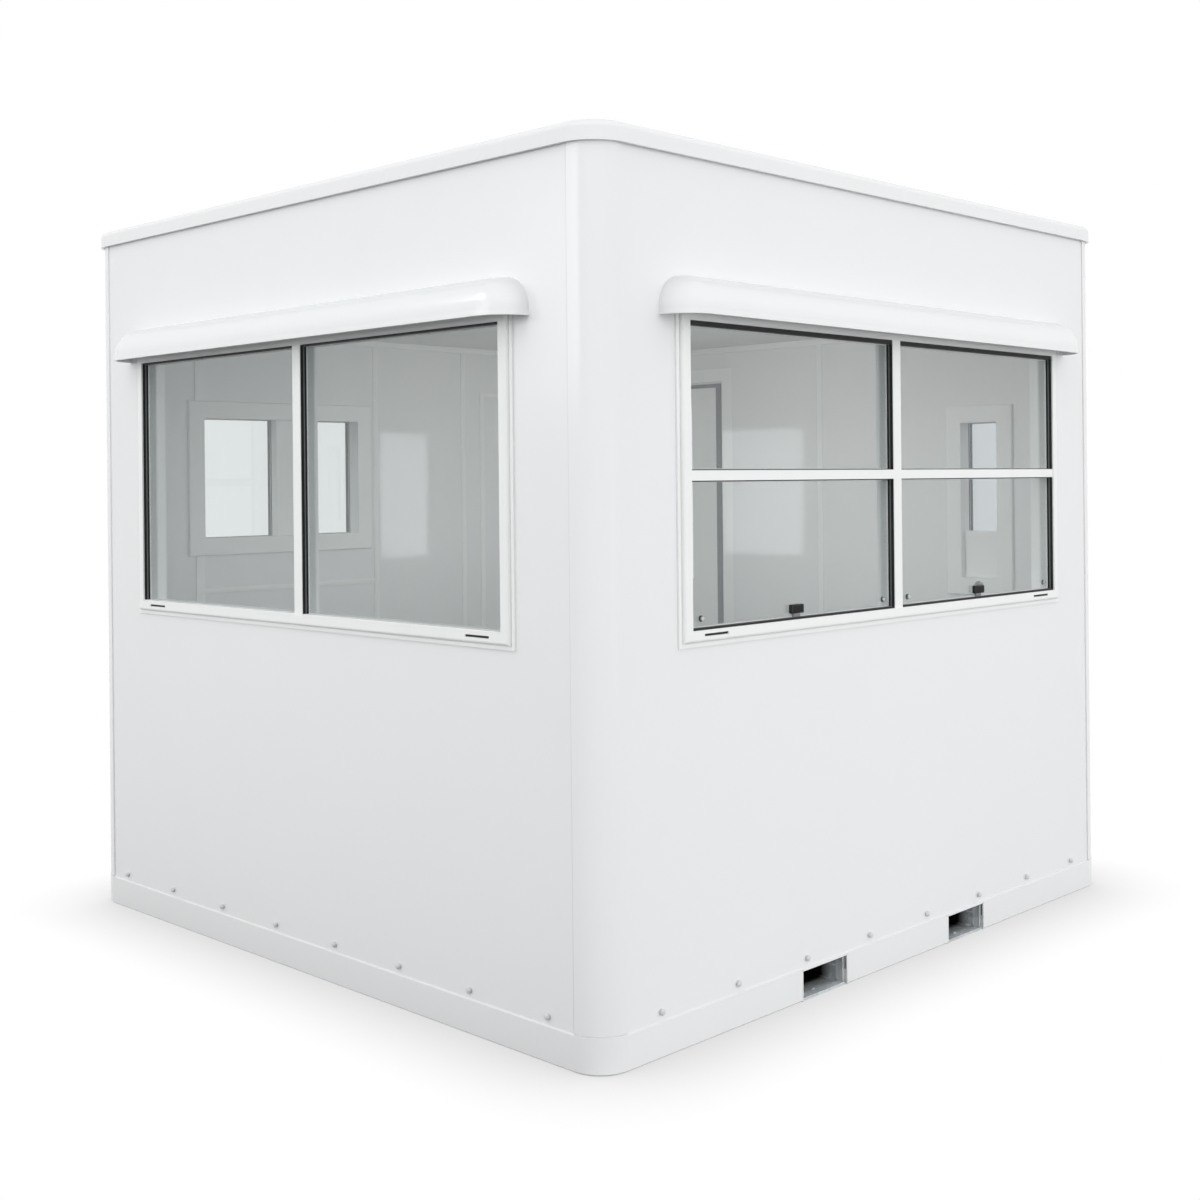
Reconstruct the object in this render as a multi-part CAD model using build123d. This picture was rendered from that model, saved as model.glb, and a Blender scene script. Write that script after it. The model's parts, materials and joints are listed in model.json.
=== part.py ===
from build123d import *
import os
from dataclasses import dataclass

# Security guard booth, a square hut with rounded corners that a forklift can carry.
# Millimetres. The origin is on the ground under the middle of the booth and +Z is up.
# The front faces -Y, the left side -X, the back +Y, and the right side, with the door, +X.

# Body
BODY_WIDTH = 2530.0
BODY_DEPTH = 2470.0
EAVES_HEIGHT = 2282.0
CORNER_RADIUS = 90.0
WALL_THICKNESS = 60.0
SEAM_WIDTH = 2.0
SEAM_DEPTH = 1.5
POST_PROUD = 3.0
POST_FOOT = 1.5

# Base with its skirt, fork pockets and floor
SKIRT_HEIGHT = 95.0
SKIRT_PROUD = 4.0
SKIRT_LEDGE = 4.0
SKIRT_FOOT = 5.0
POCKET_WIDTH = 205.0
POCKET_HEIGHT = 80.0
POCKET_WALL = 4.0
POCKET_SPACING = 740.0
POCKET_SETBACK = 4.0
JOIST_WIDTH = 60.0
JOIST_SPACING = 800.0
FLOOR_THICKNESS = 25.0

# Roof and ceiling
RIM_HEIGHT = 52.0
RIM_OVERHANG = 15.0
RIM_GAP = 5.0
RIM_ROUND = 18.0
ROOF_PLATE = 17.0
CROWN_HEIGHT = 24.0
CROWN_INSET = 70.0
CROWN_SLOPE_RUN = 420.0
CEILING_DROP = 262.0
CEILING_THICKNESS = 40.0

# Windows: each frame is a ring with a stepped outer face and a wide casing inside
WINDOW_HEAD_DROP = 420.0
WINDOW_HEIGHT = 798.0
WINDOW_MARGIN = 243.0
FRAME_BORDER = 43.0
FRAME_FACE = 31.0
FRAME_BODY = 30.0
FLANGE_PROUD = 6.0
FRAME_PROUD = 16.0
FRAME_ROUND = 8.0
FRAME_GROOVE = 1.5
FRAME_GROOVE_DEPTH = 1.5
CASING_BORDER = 62.0
CASING_PROUD = 14.0
CASING_ROUND = 4.0
MULLION_WIDTH = 40.0
TRANSOM_HEIGHT = 27.0
BAR_SETBACK = 3.0
BAR_DEPTH = 50.0
GLASS_THICKNESS = 5.0
GLASS_RECESS = 27.0
SEAL_THICKNESS = 2.0
SEAL_LIP = 2.0
FRONT_HEAD_SEAL = 12.0
FRONT_SILL_SEAL = 5.0
LEFT_HEAD_SEAL = 5.0
DRAIN_LENGTH = 95.0
DRAIN_HEIGHT = 7.0
DRAIN_DEPTH = 4.0
DRAIN_INSET = 45.0
DRAIN_DROP = 13.0

# Smaller windows of the hidden walls
BACK_WINDOW_WIDTH = 690.0
BACK_WINDOW_HEIGHT = 444.0
BACK_WINDOW_DROP = 585.0
BACK_WINDOW_MARGIN = 290.0
RIGHT_WINDOW_WIDTH = 154.0
RIGHT_WINDOW_HEIGHT = 584.0
RIGHT_WINDOW_DROP = 625.0
RIGHT_WINDOW_MARGIN = 268.0

# Pane latches on the lower front panes
LATCH_WIDTH = 56.0
LATCH_HEIGHT = 25.0
LATCH_DEPTH = 14.0
LATCH_ROUND = 4.0
LATCH_STEM_WIDTH = 30.0
LATCH_STEM_DEPTH = 8.0
LATCH_STEM_HEIGHT = 10.0

# Moulded hoods
HOOD_EXTRA = 100.0
HOOD_RISE = 8.0
HOOD_HEIGHT = 104.0
HOOD_REACH = 95.0
HOOD_PLAN_ROUND = 92.0
HOOD_TOP_ROUND = 84.0
HOOD_SHELL = 5.0
HOOD_LIP_HEIGHT = 7.0
HOOD_LIP_PROUD = 2.0

# Door in the right wall, beside the back corner
DOORWAY_WIDTH = 740.0
DOOR_HEAD_DROP = 352.0
JAMB_WIDTH = 40.0
JAMB_PROUD = 6.0
DOOR_STOP = 15.0
DOOR_GAP = 7.0
LEAF_THICKNESS = 40.0
THRESHOLD_HEIGHT = 25.0
LIGHT_MARGIN = 105.0
LIGHT_WIDTH = 240.0
LIGHT_HEIGHT = 760.0
BEAD_WIDTH = 24.0
BEAD_PROUD = 4.0
PANEL_RECESS = 4.0
HANDLE_HEIGHT = 1000.0
HANDLE_INSET = 58.0
HANDLE_PLATE_WIDTH = 38.0
HANDLE_PLATE_HEIGHT = 170.0
HANDLE_PLATE_THICKNESS = 6.0
LEVER_RADIUS = 9.0
LEVER_LENGTH = 115.0
LEVER_STANDOFF = 46.0

# Lift-off hinges
HINGE_COUNT = 3
HINGE_END = 220.0
KNUCKLE_RADIUS = 8.0
KNUCKLE_HEIGHT = 42.0
KNUCKLE_PLAY = 0.6
KNUCKLE_STAND = 1.0
PIN_RADIUS = 4.0
PIN_PLAY = 0.3
HINGE_WING = 34.0
HINGE_WING_THICKNESS = 3.0

# One overrun serves every cut
OVERRUN = 10.0

# Sizes that follow from the ones above
WALL_TOP = EAVES_HEIGHT + RIM_HEIGHT - ROOF_PLATE
FRONT_SPAN = BODY_WIDTH - 2 * CORNER_RADIUS
SIDE_SPAN = BODY_DEPTH - 2 * CORNER_RADIUS
POCKET_OUTSIDE = POCKET_HEIGHT + 2 * POCKET_WALL
INSIDE_WIDTH = BODY_WIDTH - 2 * WALL_THICKNESS
INSIDE_DEPTH = BODY_DEPTH - 2 * WALL_THICKNESS
INSIDE_RADIUS = CORNER_RADIUS - WALL_THICKNESS
GLASS_FRONT = GLASS_RECESS - FRAME_PROUD
WINDOW_HEAD = EAVES_HEIGHT - WINDOW_HEAD_DROP
WINDOW_SILL = WINDOW_HEAD - WINDOW_HEIGHT

# Each wall is drawn with its outer face at y = 0, outwards towards -y, x to the right as seen
# from outside, and is then stood in its place.
FRONT = Pos(0, -BODY_DEPTH / 2, 0)
LEFT = Pos(-BODY_WIDTH / 2, 0, 0) * Rot(0, 0, -90)
BACK = Pos(0, BODY_DEPTH / 2, 0) * Rot(0, 0, 180)
RIGHT = Pos(BODY_WIDTH / 2, 0, 0) * Rot(0, 0, 90)

LOW_CORNER = (Align.MIN, Align.MIN, Align.MIN)


def block(x0, x1, y0, y1, z0, z1):
    """A box between two corners."""
    return Pos(x0, y0, z0) * Box(x1 - x0, y1 - y0, z1 - z0, align=LOW_CORNER)


def save(name, *solids):
    """Write one named piece, as one solid or as several that share a file."""
    shape = solids[0] if len(solids) == 1 else Compound(children=list(solids))
    export_step(shape, os.path.join("parts", name + ".step"))


# Windows

@dataclass
class Window:
    """One window opening: the glass area, its rows and columns of panes, and its black seals."""
    centre: float
    width: float
    sill: float
    head: float
    columns: int = 1
    rows: int = 1
    head_seal: float = SEAL_THICKNESS
    sill_seal: float = SEAL_THICKNESS
    drains: tuple = (-1, 1)

    @property
    def left(self):
        return self.centre - self.width / 2

    @property
    def right(self):
        return self.centre + self.width / 2

    def grown(self, border, y0, y1):
        """A block over the opening, larger than it by a border all round."""
        return block(self.left - border, self.right + border, y0, y1,
                     self.sill - border, self.head + border)

    def panes(self):
        """Left, right, bottom and top of each pane between the bars, row by row from the sill."""
        pane_width = (self.width - (self.columns - 1) * MULLION_WIDTH) / self.columns
        pane_height = (self.head - self.sill - (self.rows - 1) * TRANSOM_HEIGHT) / self.rows
        found = []
        for row in range(self.rows):
            z = self.sill + row * (pane_height + TRANSOM_HEIGHT)
            for column in range(self.columns):
                x = self.left + column * (pane_width + MULLION_WIDTH)
                found.append((x, x + pane_width, z, z + pane_height))
        return found


FRONT_WINDOW = Window(0, FRONT_SPAN - 2 * WINDOW_MARGIN, WINDOW_SILL, WINDOW_HEAD,
                      columns=2, rows=2, head_seal=FRONT_HEAD_SEAL, sill_seal=FRONT_SILL_SEAL)
LEFT_WINDOW = Window(0, SIDE_SPAN - 2 * WINDOW_MARGIN, WINDOW_SILL, WINDOW_HEAD,
                     columns=2, head_seal=LEFT_HEAD_SEAL)
BACK_WINDOW = Window(FRONT_SPAN / 2 - BACK_WINDOW_MARGIN - BACK_WINDOW_WIDTH / 2, BACK_WINDOW_WIDTH,
                     EAVES_HEIGHT - BACK_WINDOW_DROP - BACK_WINDOW_HEIGHT,
                     EAVES_HEIGHT - BACK_WINDOW_DROP, columns=2)
RIGHT_WINDOW = Window(-SIDE_SPAN / 2 + RIGHT_WINDOW_MARGIN + RIGHT_WINDOW_WIDTH / 2, RIGHT_WINDOW_WIDTH,
                      EAVES_HEIGHT - RIGHT_WINDOW_DROP - RIGHT_WINDOW_HEIGHT,
                      EAVES_HEIGHT - RIGHT_WINDOW_DROP, drains=())


def window_cut(window):
    """The hole in the wall that the frame's body fills."""
    return window.grown(FRAME_BODY, -OVERRUN, WALL_THICKNESS + OVERRUN)


def window_frame(window):
    """Frame ring with a stepped face, an inside casing, its bars and drain slots in the sill."""
    face = window.grown(FRAME_FACE, -FRAME_PROUD, 0)
    face_front = face.faces().sort_by(Axis.Y)[0]
    face = fillet(face_front.edges(), FRAME_ROUND)
    groove_floor = FRAME_GROOVE_DEPTH - FLANGE_PROUD
    flange = window.grown(FRAME_BORDER, -FLANGE_PROUD, 0)
    flange -= window.grown(FRAME_FACE + FRAME_GROOVE, -FLANGE_PROUD - OVERRUN, groove_floor)
    casing_back = WALL_THICKNESS + CASING_PROUD
    casing = window.grown(CASING_BORDER, WALL_THICKNESS, casing_back)
    casing = fillet(casing.faces().sort_by(Axis.Y)[-1].edges(), CASING_ROUND)
    ring = face + flange + window.grown(FRAME_BODY, 0, WALL_THICKNESS) + casing
    bars_front = BAR_SETBACK - FRAME_PROUD
    openings = [block(x0, x1, bars_front - OVERRUN, BAR_DEPTH + OVERRUN, z0, z1)
                for x0, x1, z0, z1 in window.panes()]
    ring -= window.grown(0, -FRAME_PROUD - OVERRUN, bars_front)
    ring -= window.grown(0, BAR_DEPTH, casing_back + OVERRUN)
    for opening in openings:
        ring -= opening
    for side in window.drains:
        slot_middle = window.centre + side * (window.width / 2 - DRAIN_INSET - DRAIN_LENGTH / 2)
        slot_z = window.sill - DRAIN_DROP
        ring -= block(slot_middle - DRAIN_LENGTH / 2, slot_middle + DRAIN_LENGTH / 2,
                      -FRAME_PROUD - OVERRUN, -FRAME_PROUD + DRAIN_DEPTH,
                      slot_z - DRAIN_HEIGHT / 2, slot_z + DRAIN_HEIGHT / 2)
    return ring


def glass_panes(window, places):
    """Sheets of glass that fill the given panes behind their seals."""
    return [block(x0, x1, GLASS_FRONT, GLASS_FRONT + GLASS_THICKNESS, z0, z1) for x0, x1, z0, z1 in places]


def window_seals(window):
    """Black channel round each pane, from just behind the face of the frame back to the glass."""
    seals = []
    front = BAR_SETBACK - FRAME_PROUD + SEAL_LIP
    for x0, x1, z0, z1 in window.panes():
        head_seal = window.head_seal if z1 == window.head else SEAL_THICKNESS
        sill_seal = window.sill_seal if z0 == window.sill else SEAL_THICKNESS
        seal = block(x0, x1, front, GLASS_FRONT, z0, z1)
        seal -= block(x0 + SEAL_THICKNESS, x1 - SEAL_THICKNESS, front - OVERRUN, GLASS_FRONT + OVERRUN,
                      z0 + sill_seal, z1 - head_seal)
        seals.append(seal)
    return seals


def pane_latch(window, pane):
    """Black finger latch on a short stem at the middle of a lower pane's bottom edge."""
    middle = (pane[0] + pane[1]) / 2
    foot = window.sill + window.sill_seal
    shoulder = foot + LATCH_STEM_HEIGHT
    grip = block(middle - LATCH_WIDTH / 2, middle + LATCH_WIDTH / 2, GLASS_FRONT - LATCH_DEPTH, GLASS_FRONT,
                 shoulder, shoulder + LATCH_HEIGHT)
    grip = fillet(grip.edges().filter_by(Axis.Y), LATCH_ROUND)
    return grip + block(middle - LATCH_STEM_WIDTH / 2, middle + LATCH_STEM_WIDTH / 2,
                        GLASS_FRONT - LATCH_STEM_DEPTH, GLASS_FRONT, foot, shoulder)


# Hoods

def hood_form(half_length, reach, height, plan_round, top_round, back):
    """Plan with two round front corners, raised and rounded over along its top edge."""
    plan = Pos(0, (back - reach) / 2) * Rectangle(2 * half_length, reach + back)
    plan = fillet(plan.vertices().group_by(Axis.Y)[0], plan_round)
    form = extrude(plan, height)
    top_edges = form.faces().sort_by(Axis.Z)[-1].edges()
    return fillet(top_edges.sort_by(Axis.Y)[:-1], top_round)


def hood(window):
    """Moulded hood over a window: a shell open below and against the wall, with a rolled lip."""
    half_length = window.width / 2 + HOOD_EXTRA
    form = hood_form(half_length, HOOD_REACH, HOOD_HEIGHT, HOOD_PLAN_ROUND, HOOD_TOP_ROUND, 0)
    lip_plan = Pos(0, -(HOOD_REACH + HOOD_LIP_PROUD) / 2)
    lip_plan *= Rectangle(2 * (half_length + HOOD_LIP_PROUD), HOOD_REACH + HOOD_LIP_PROUD)
    lip_plan = fillet(lip_plan.vertices().group_by(Axis.Y)[0], HOOD_PLAN_ROUND + HOOD_LIP_PROUD)
    form += extrude(lip_plan, HOOD_LIP_HEIGHT)
    hollow = hood_form(half_length - HOOD_SHELL, HOOD_REACH - HOOD_SHELL, HOOD_HEIGHT - HOOD_SHELL + OVERRUN,
                       HOOD_PLAN_ROUND - HOOD_SHELL, HOOD_TOP_ROUND - HOOD_SHELL, OVERRUN)
    form -= Pos(0, 0, -OVERRUN) * hollow
    return Pos(window.centre, 0, window.head + HOOD_RISE) * form


# Walls and corner posts

def wall(x0, x1, z0, seams):
    """Plain slab from x0 to x1, with a fine groove beside each corner post named in seams."""
    slab = block(x0, x1, 0, WALL_THICKNESS, z0, WALL_TOP)
    for edge, inwards in seams:
        groove_end = edge + inwards * SEAM_WIDTH
        slab -= block(min(edge, groove_end), max(edge, groove_end), -OVERRUN, SEAM_DEPTH,
                      z0 - OVERRUN, WALL_TOP + OVERRUN)
    return slab


def round_corner(outer_radius, z0, z1):
    """Quarter of a thick tube about the corner's own axis, for the corner at -X, -Y."""
    plan = Circle(outer_radius) - Circle(INSIDE_RADIUS)
    plan &= Rectangle(outer_radius, outer_radius, align=(Align.MAX, Align.MAX))
    return Pos(0, 0, z0) * extrude(plan, z1 - z0)


def slope_foot(band, size):
    """Slope off the outer bottom edge of a rounded band."""
    foot_edges = band.faces().sort_by(Axis.Z)[0].edges().filter_by(GeomType.CIRCLE)
    return chamfer(foot_edges.sort_by(SortBy.LENGTH)[-1], size)


def corner_post():
    """Rounded post that stands a little proud of the walls, nearly as far out as the skirt."""
    return slope_foot(round_corner(CORNER_RADIUS + POST_PROUD, SKIRT_HEIGHT, WALL_TOP), POST_FOOT)


def corner_places():
    """Name and place of the four corner axes, each turned so that the quarter tube faces out."""
    x = FRONT_SPAN / 2
    y = SIDE_SPAN / 2
    return {
        "front_left": Pos(-x, -y, 0),
        "front_right": Pos(x, -y, 0) * Rot(0, 0, 90),
        "back_right": Pos(x, y, 0) * Rot(0, 0, 180),
        "back_left": Pos(-x, y, 0) * Rot(0, 0, 270),
    }


# Base

def skirt(span, notches):
    """Straight length of the skirt, sloped off at its ledge and foot, with a notch for each fork pocket."""
    band = block(-span / 2, span / 2, -SKIRT_PROUD, WALL_THICKNESS, 0, SKIRT_HEIGHT)
    outer_edges = band.faces().sort_by(Axis.Y)[0].edges()
    band = chamfer(outer_edges.sort_by(Axis.Z)[-1], SKIRT_LEDGE)
    outer_edges = band.faces().sort_by(Axis.Y)[0].edges()
    band = chamfer(outer_edges.sort_by(Axis.Z)[0], SKIRT_FOOT)
    half = POCKET_WIDTH / 2 + POCKET_WALL
    for middle in notches:
        band -= block(middle - half, middle + half, -SKIRT_PROUD - OVERRUN, WALL_THICKNESS + OVERRUN,
                      -OVERRUN, POCKET_OUTSIDE)
    return band


def skirt_corner():
    """Rounded length of the skirt under a corner post, sloped off at its foot."""
    return slope_foot(round_corner(CORNER_RADIUS + SKIRT_PROUD, 0, SKIRT_HEIGHT), SKIRT_FOOT)


def fork_pocket(middle):
    """Rectangular steel tube that runs through the base from front to back."""
    half_length = BODY_DEPTH / 2 + SKIRT_PROUD - POCKET_SETBACK
    half = POCKET_WIDTH / 2
    tube = block(middle - half - POCKET_WALL, middle + half + POCKET_WALL, -half_length, half_length,
                 0, POCKET_OUTSIDE)
    return tube - block(middle - half, middle + half, -half_length - OVERRUN, half_length + OVERRUN,
                        POCKET_WALL, POCKET_WALL + POCKET_HEIGHT)


def floor_joist(middle):
    """Bearer under the floor, as deep as the fork pockets."""
    return block(middle - JOIST_WIDTH / 2, middle + JOIST_WIDTH / 2, -INSIDE_DEPTH / 2, INSIDE_DEPTH / 2,
                 0, POCKET_OUTSIDE)


def inside_panel(z0, thickness):
    """Panel that fills the room from wall to wall."""
    return Pos(0, 0, z0) * extrude(RectangleRounded(INSIDE_WIDTH, INSIDE_DEPTH, INSIDE_RADIUS), thickness)


# Roof

def rounded_plan(margin):
    """The body's rounded outline, larger by a margin."""
    return RectangleRounded(BODY_WIDTH + 2 * margin, BODY_DEPTH + 2 * margin, CORNER_RADIUS + margin)


def roof_cap():
    """Lid with a rounded rim that hangs over the walls, and a low crown that sheds water."""
    lid = Pos(0, 0, EAVES_HEIGHT) * extrude(rounded_plan(RIM_OVERHANG), RIM_HEIGHT)
    lid = fillet(lid.faces().sort_by(Axis.Z)[-1].edges(), RIM_ROUND)
    rim_top = EAVES_HEIGHT + RIM_HEIGHT
    crown_foot = Pos(0, 0, rim_top) * rounded_plan(-CROWN_INSET)
    crown_width = BODY_WIDTH - 2 * (CROWN_INSET + CROWN_SLOPE_RUN)
    crown_depth = BODY_DEPTH - 2 * (CROWN_INSET + CROWN_SLOPE_RUN)
    crown_top = Pos(0, 0, rim_top + CROWN_HEIGHT) * RectangleRounded(crown_width, crown_depth,
                                                                    CORNER_RADIUS - CROWN_INSET)
    lid += loft([crown_foot, crown_top])
    pocket = extrude(rounded_plan(RIM_GAP), WALL_TOP - EAVES_HEIGHT + OVERRUN)
    return lid - Pos(0, 0, EAVES_HEIGHT - OVERRUN) * pocket


# Door, drawn in the right wall's own frame

DOORWAY_LEFT = SIDE_SPAN / 2 - DOORWAY_WIDTH
DOORWAY_RIGHT = SIDE_SPAN / 2
DOOR_HEAD = EAVES_HEIGHT - DOOR_HEAD_DROP
LEAF_LEFT = DOORWAY_LEFT + JAMB_WIDTH + DOOR_GAP
LEAF_RIGHT = DOORWAY_RIGHT - JAMB_WIDTH - DOOR_GAP
LEAF_BOTTOM = SKIRT_HEIGHT + THRESHOLD_HEIGHT + DOOR_GAP
LEAF_TOP = DOOR_HEAD - JAMB_WIDTH - DOOR_GAP
LEAF_BACK = LEAF_THICKNESS - JAMB_PROUD
LIGHT_TOP = LEAF_TOP - LIGHT_MARGIN
LIGHT_BOTTOM = LIGHT_TOP - LIGHT_HEIGHT
LIGHT_LEFT = (LEAF_LEFT + LEAF_RIGHT - LIGHT_WIDTH) / 2
LIGHT_RIGHT = LIGHT_LEFT + LIGHT_WIDTH
HINGE_X = LEAF_LEFT - DOOR_GAP / 2
HINGE_Y = -JAMB_PROUD - KNUCKLE_STAND - KNUCKLE_RADIUS


def door_frame():
    """Two jambs and a head, with a stop behind the leaf."""
    frame = block(DOORWAY_LEFT, DOORWAY_RIGHT, -JAMB_PROUD, WALL_THICKNESS, SKIRT_HEIGHT, DOOR_HEAD)
    rebate_back = LEAF_BACK + DOOR_GAP
    frame -= block(DOORWAY_LEFT + JAMB_WIDTH, DOORWAY_RIGHT - JAMB_WIDTH, -JAMB_PROUD - OVERRUN, rebate_back,
                   SKIRT_HEIGHT - OVERRUN, DOOR_HEAD - JAMB_WIDTH)
    inner = JAMB_WIDTH + DOOR_STOP
    frame -= block(DOORWAY_LEFT + inner, DOORWAY_RIGHT - inner, rebate_back - OVERRUN, WALL_THICKNESS + OVERRUN,
                   SKIRT_HEIGHT - OVERRUN, DOOR_HEAD - inner)
    return frame


def door_threshold():
    """Sill plate between the jambs, level with the foot of the stops."""
    return block(DOORWAY_LEFT + JAMB_WIDTH, DOORWAY_RIGHT - JAMB_WIDTH, -JAMB_PROUD, LEAF_BACK + DOOR_GAP,
                 SKIRT_HEIGHT, SKIRT_HEIGHT + THRESHOLD_HEIGHT)


def door_leaf():
    """Leaf with a tall vision panel in a raised bead and a shallow panel below."""
    leaf = block(LEAF_LEFT, LEAF_RIGHT, -JAMB_PROUD, LEAF_BACK, LEAF_BOTTOM, LEAF_TOP)
    leaf += block(LIGHT_LEFT - BEAD_WIDTH, LIGHT_RIGHT + BEAD_WIDTH, -JAMB_PROUD - BEAD_PROUD, -JAMB_PROUD,
                  LIGHT_BOTTOM - BEAD_WIDTH, LIGHT_TOP + BEAD_WIDTH)
    leaf -= block(LIGHT_LEFT, LIGHT_RIGHT, -JAMB_PROUD - BEAD_PROUD - OVERRUN, LEAF_BACK + OVERRUN,
                  LIGHT_BOTTOM, LIGHT_TOP)
    panel_top = LIGHT_BOTTOM - LIGHT_MARGIN
    leaf -= block(LEAF_LEFT + LIGHT_MARGIN, LEAF_RIGHT - LIGHT_MARGIN, -JAMB_PROUD - OVERRUN,
                  -JAMB_PROUD + PANEL_RECESS, LEAF_BOTTOM + LIGHT_MARGIN, panel_top)
    return leaf


def door_glass():
    """Pane of the leaf's vision panel."""
    middle = LEAF_BACK - LEAF_THICKNESS / 2
    return block(LIGHT_LEFT, LIGHT_RIGHT, middle - GLASS_THICKNESS / 2, middle + GLASS_THICKNESS / 2,
                 LIGHT_BOTTOM, LIGHT_TOP)


def lever_handle(face, outwards):
    """Back plate with a round lever that points towards the hinges."""
    x = LEAF_RIGHT - HANDLE_INSET
    plate_front = face + outwards * HANDLE_PLATE_THICKNESS
    lever_y = face + outwards * LEVER_STANDOFF
    plate = block(x - HANDLE_PLATE_WIDTH / 2, x + HANDLE_PLATE_WIDTH / 2, min(face, plate_front),
                  max(face, plate_front), HANDLE_HEIGHT - HANDLE_PLATE_HEIGHT / 2,
                  HANDLE_HEIGHT + HANDLE_PLATE_HEIGHT / 2)
    plate = fillet(plate.edges().filter_by(Axis.Y), LEVER_RADIUS)
    neck = Pos(x, face, HANDLE_HEIGHT) * Rot(-90 * outwards, 0, 0)
    neck *= Cylinder(LEVER_RADIUS, LEVER_STANDOFF, align=(Align.CENTER, Align.CENTER, Align.MIN))
    lever = Pos(x, lever_y, HANDLE_HEIGHT) * Rot(0, -90, 0)
    lever *= Cylinder(LEVER_RADIUS, LEVER_LENGTH, align=(Align.CENTER, Align.CENTER, Align.MIN))
    elbow = Pos(x, lever_y, HANDLE_HEIGHT) * Sphere(LEVER_RADIUS)
    return plate + neck + elbow + lever


def hinge_heights():
    """Level of the joint between the two knuckles of each hinge."""
    lowest = LEAF_BOTTOM + HINGE_END
    pitch = (LEAF_TOP - HINGE_END - lowest) / (HINGE_COUNT - 1)
    return [lowest + i * pitch for i in range(HINGE_COUNT)]


def hinge_wing(side, z0):
    """Flat wing from a knuckle to the face that it is fixed to."""
    end = HINGE_X + side * HINGE_WING
    return block(min(HINGE_X, end), max(HINGE_X, end), -JAMB_PROUD - HINGE_WING_THICKNESS, -JAMB_PROUD,
                 z0, z0 + KNUCKLE_HEIGHT)


def hinge_pin(z):
    """Lower knuckle on the jamb, with the pin that stands up out of it."""
    axis = Pos(HINGE_X, HINGE_Y, z - KNUCKLE_HEIGHT)
    up = (Align.CENTER, Align.CENTER, Align.MIN)
    pin = Cylinder(PIN_RADIUS, 2 * KNUCKLE_HEIGHT, align=up)
    return axis * (Cylinder(KNUCKLE_RADIUS, KNUCKLE_HEIGHT, align=up) + pin) + hinge_wing(-1, z - KNUCKLE_HEIGHT)


def hinge_knuckle(z):
    """Upper knuckle on the leaf, which turns on the pin."""
    axis = Pos(HINGE_X, HINGE_Y, z + KNUCKLE_PLAY)
    up = (Align.CENTER, Align.CENTER, Align.MIN)
    knuckle = axis * Cylinder(KNUCKLE_RADIUS, KNUCKLE_HEIGHT, align=up) + hinge_wing(1, z + KNUCKLE_PLAY)
    bore = Pos(0, 0, -OVERRUN) * Cylinder(PIN_RADIUS + PIN_PLAY, KNUCKLE_HEIGHT + 2 * OVERRUN, align=up)
    return knuckle - axis * bore


# Write every piece

os.makedirs("parts", exist_ok=True)

POCKETS = (-POCKET_SPACING / 2, POCKET_SPACING / 2)
save("front_skirt", FRONT * skirt(FRONT_SPAN, POCKETS))
save("back_skirt", BACK * skirt(FRONT_SPAN, POCKETS))
save("left_skirt", LEFT * skirt(SIDE_SPAN, ()))
save("right_skirt", RIGHT * skirt(SIDE_SPAN, ()))
save("skirt_corners", *[place * skirt_corner() for place in corner_places().values()])
save("fork_pocket_left", fork_pocket(POCKETS[0]))
save("fork_pocket_right", fork_pocket(POCKETS[1]))
save("floor_joists", *[floor_joist(x) for x in (-JOIST_SPACING, 0, JOIST_SPACING)])
save("floor_panel", inside_panel(POCKET_OUTSIDE, FLOOR_THICKNESS))

half_front = FRONT_SPAN / 2
half_side = SIDE_SPAN / 2
save("front_wall", FRONT * (wall(-half_front, half_front, SKIRT_HEIGHT, [(half_front, -1)])
                            - window_cut(FRONT_WINDOW)))
save("left_wall", LEFT * (wall(-half_side, half_side, SKIRT_HEIGHT, [(-half_side, 1), (half_side, -1)])
                          - window_cut(LEFT_WINDOW)))
save("back_wall", BACK * (wall(-half_front, half_front, SKIRT_HEIGHT, [(-half_front, 1), (half_front, -1)])
                          - window_cut(BACK_WINDOW)))
save("right_wall", RIGHT * (wall(-half_side, DOORWAY_LEFT, SKIRT_HEIGHT, [(-half_side, 1)])
                            - window_cut(RIGHT_WINDOW)))
save("right_wall_over_door", RIGHT * wall(DOORWAY_LEFT, DOORWAY_RIGHT, DOOR_HEAD, [(half_side, -1)]))
for corner_name, place in corner_places().items():
    save("corner_post_" + corner_name, place * corner_post())

save("roof_cap", roof_cap())
save("ceiling_panel", inside_panel(EAVES_HEIGHT - CEILING_DROP, CEILING_THICKNESS))

lower_panes = FRONT_WINDOW.panes()[:FRONT_WINDOW.columns]
upper_panes = FRONT_WINDOW.panes()[FRONT_WINDOW.columns:]
save("front_window_frame", FRONT * window_frame(FRONT_WINDOW))
save("front_upper_glass", *[FRONT * pane for pane in glass_panes(FRONT_WINDOW, upper_panes)])
save("front_lower_glass", *[FRONT * pane for pane in glass_panes(FRONT_WINDOW, lower_panes)])
save("front_window_seals", *[FRONT * seal for seal in window_seals(FRONT_WINDOW)])
save("front_window_latches", *[FRONT * pane_latch(FRONT_WINDOW, pane) for pane in lower_panes])
for side_name, place, window in (("left", LEFT, LEFT_WINDOW), ("back", BACK, BACK_WINDOW),
                                 ("right", RIGHT, RIGHT_WINDOW)):
    save(side_name + "_window_frame", place * window_frame(window))
    save(side_name + "_window_glass", *[place * pane for pane in glass_panes(window, window.panes())])
    save(side_name + "_window_seals", *[place * seal for seal in window_seals(window)])
for side_name, place, window in (("front", FRONT, FRONT_WINDOW), ("left", LEFT, LEFT_WINDOW),
                                 ("back", BACK, BACK_WINDOW)):
    save(side_name + "_hood", place * hood(window))

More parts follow.
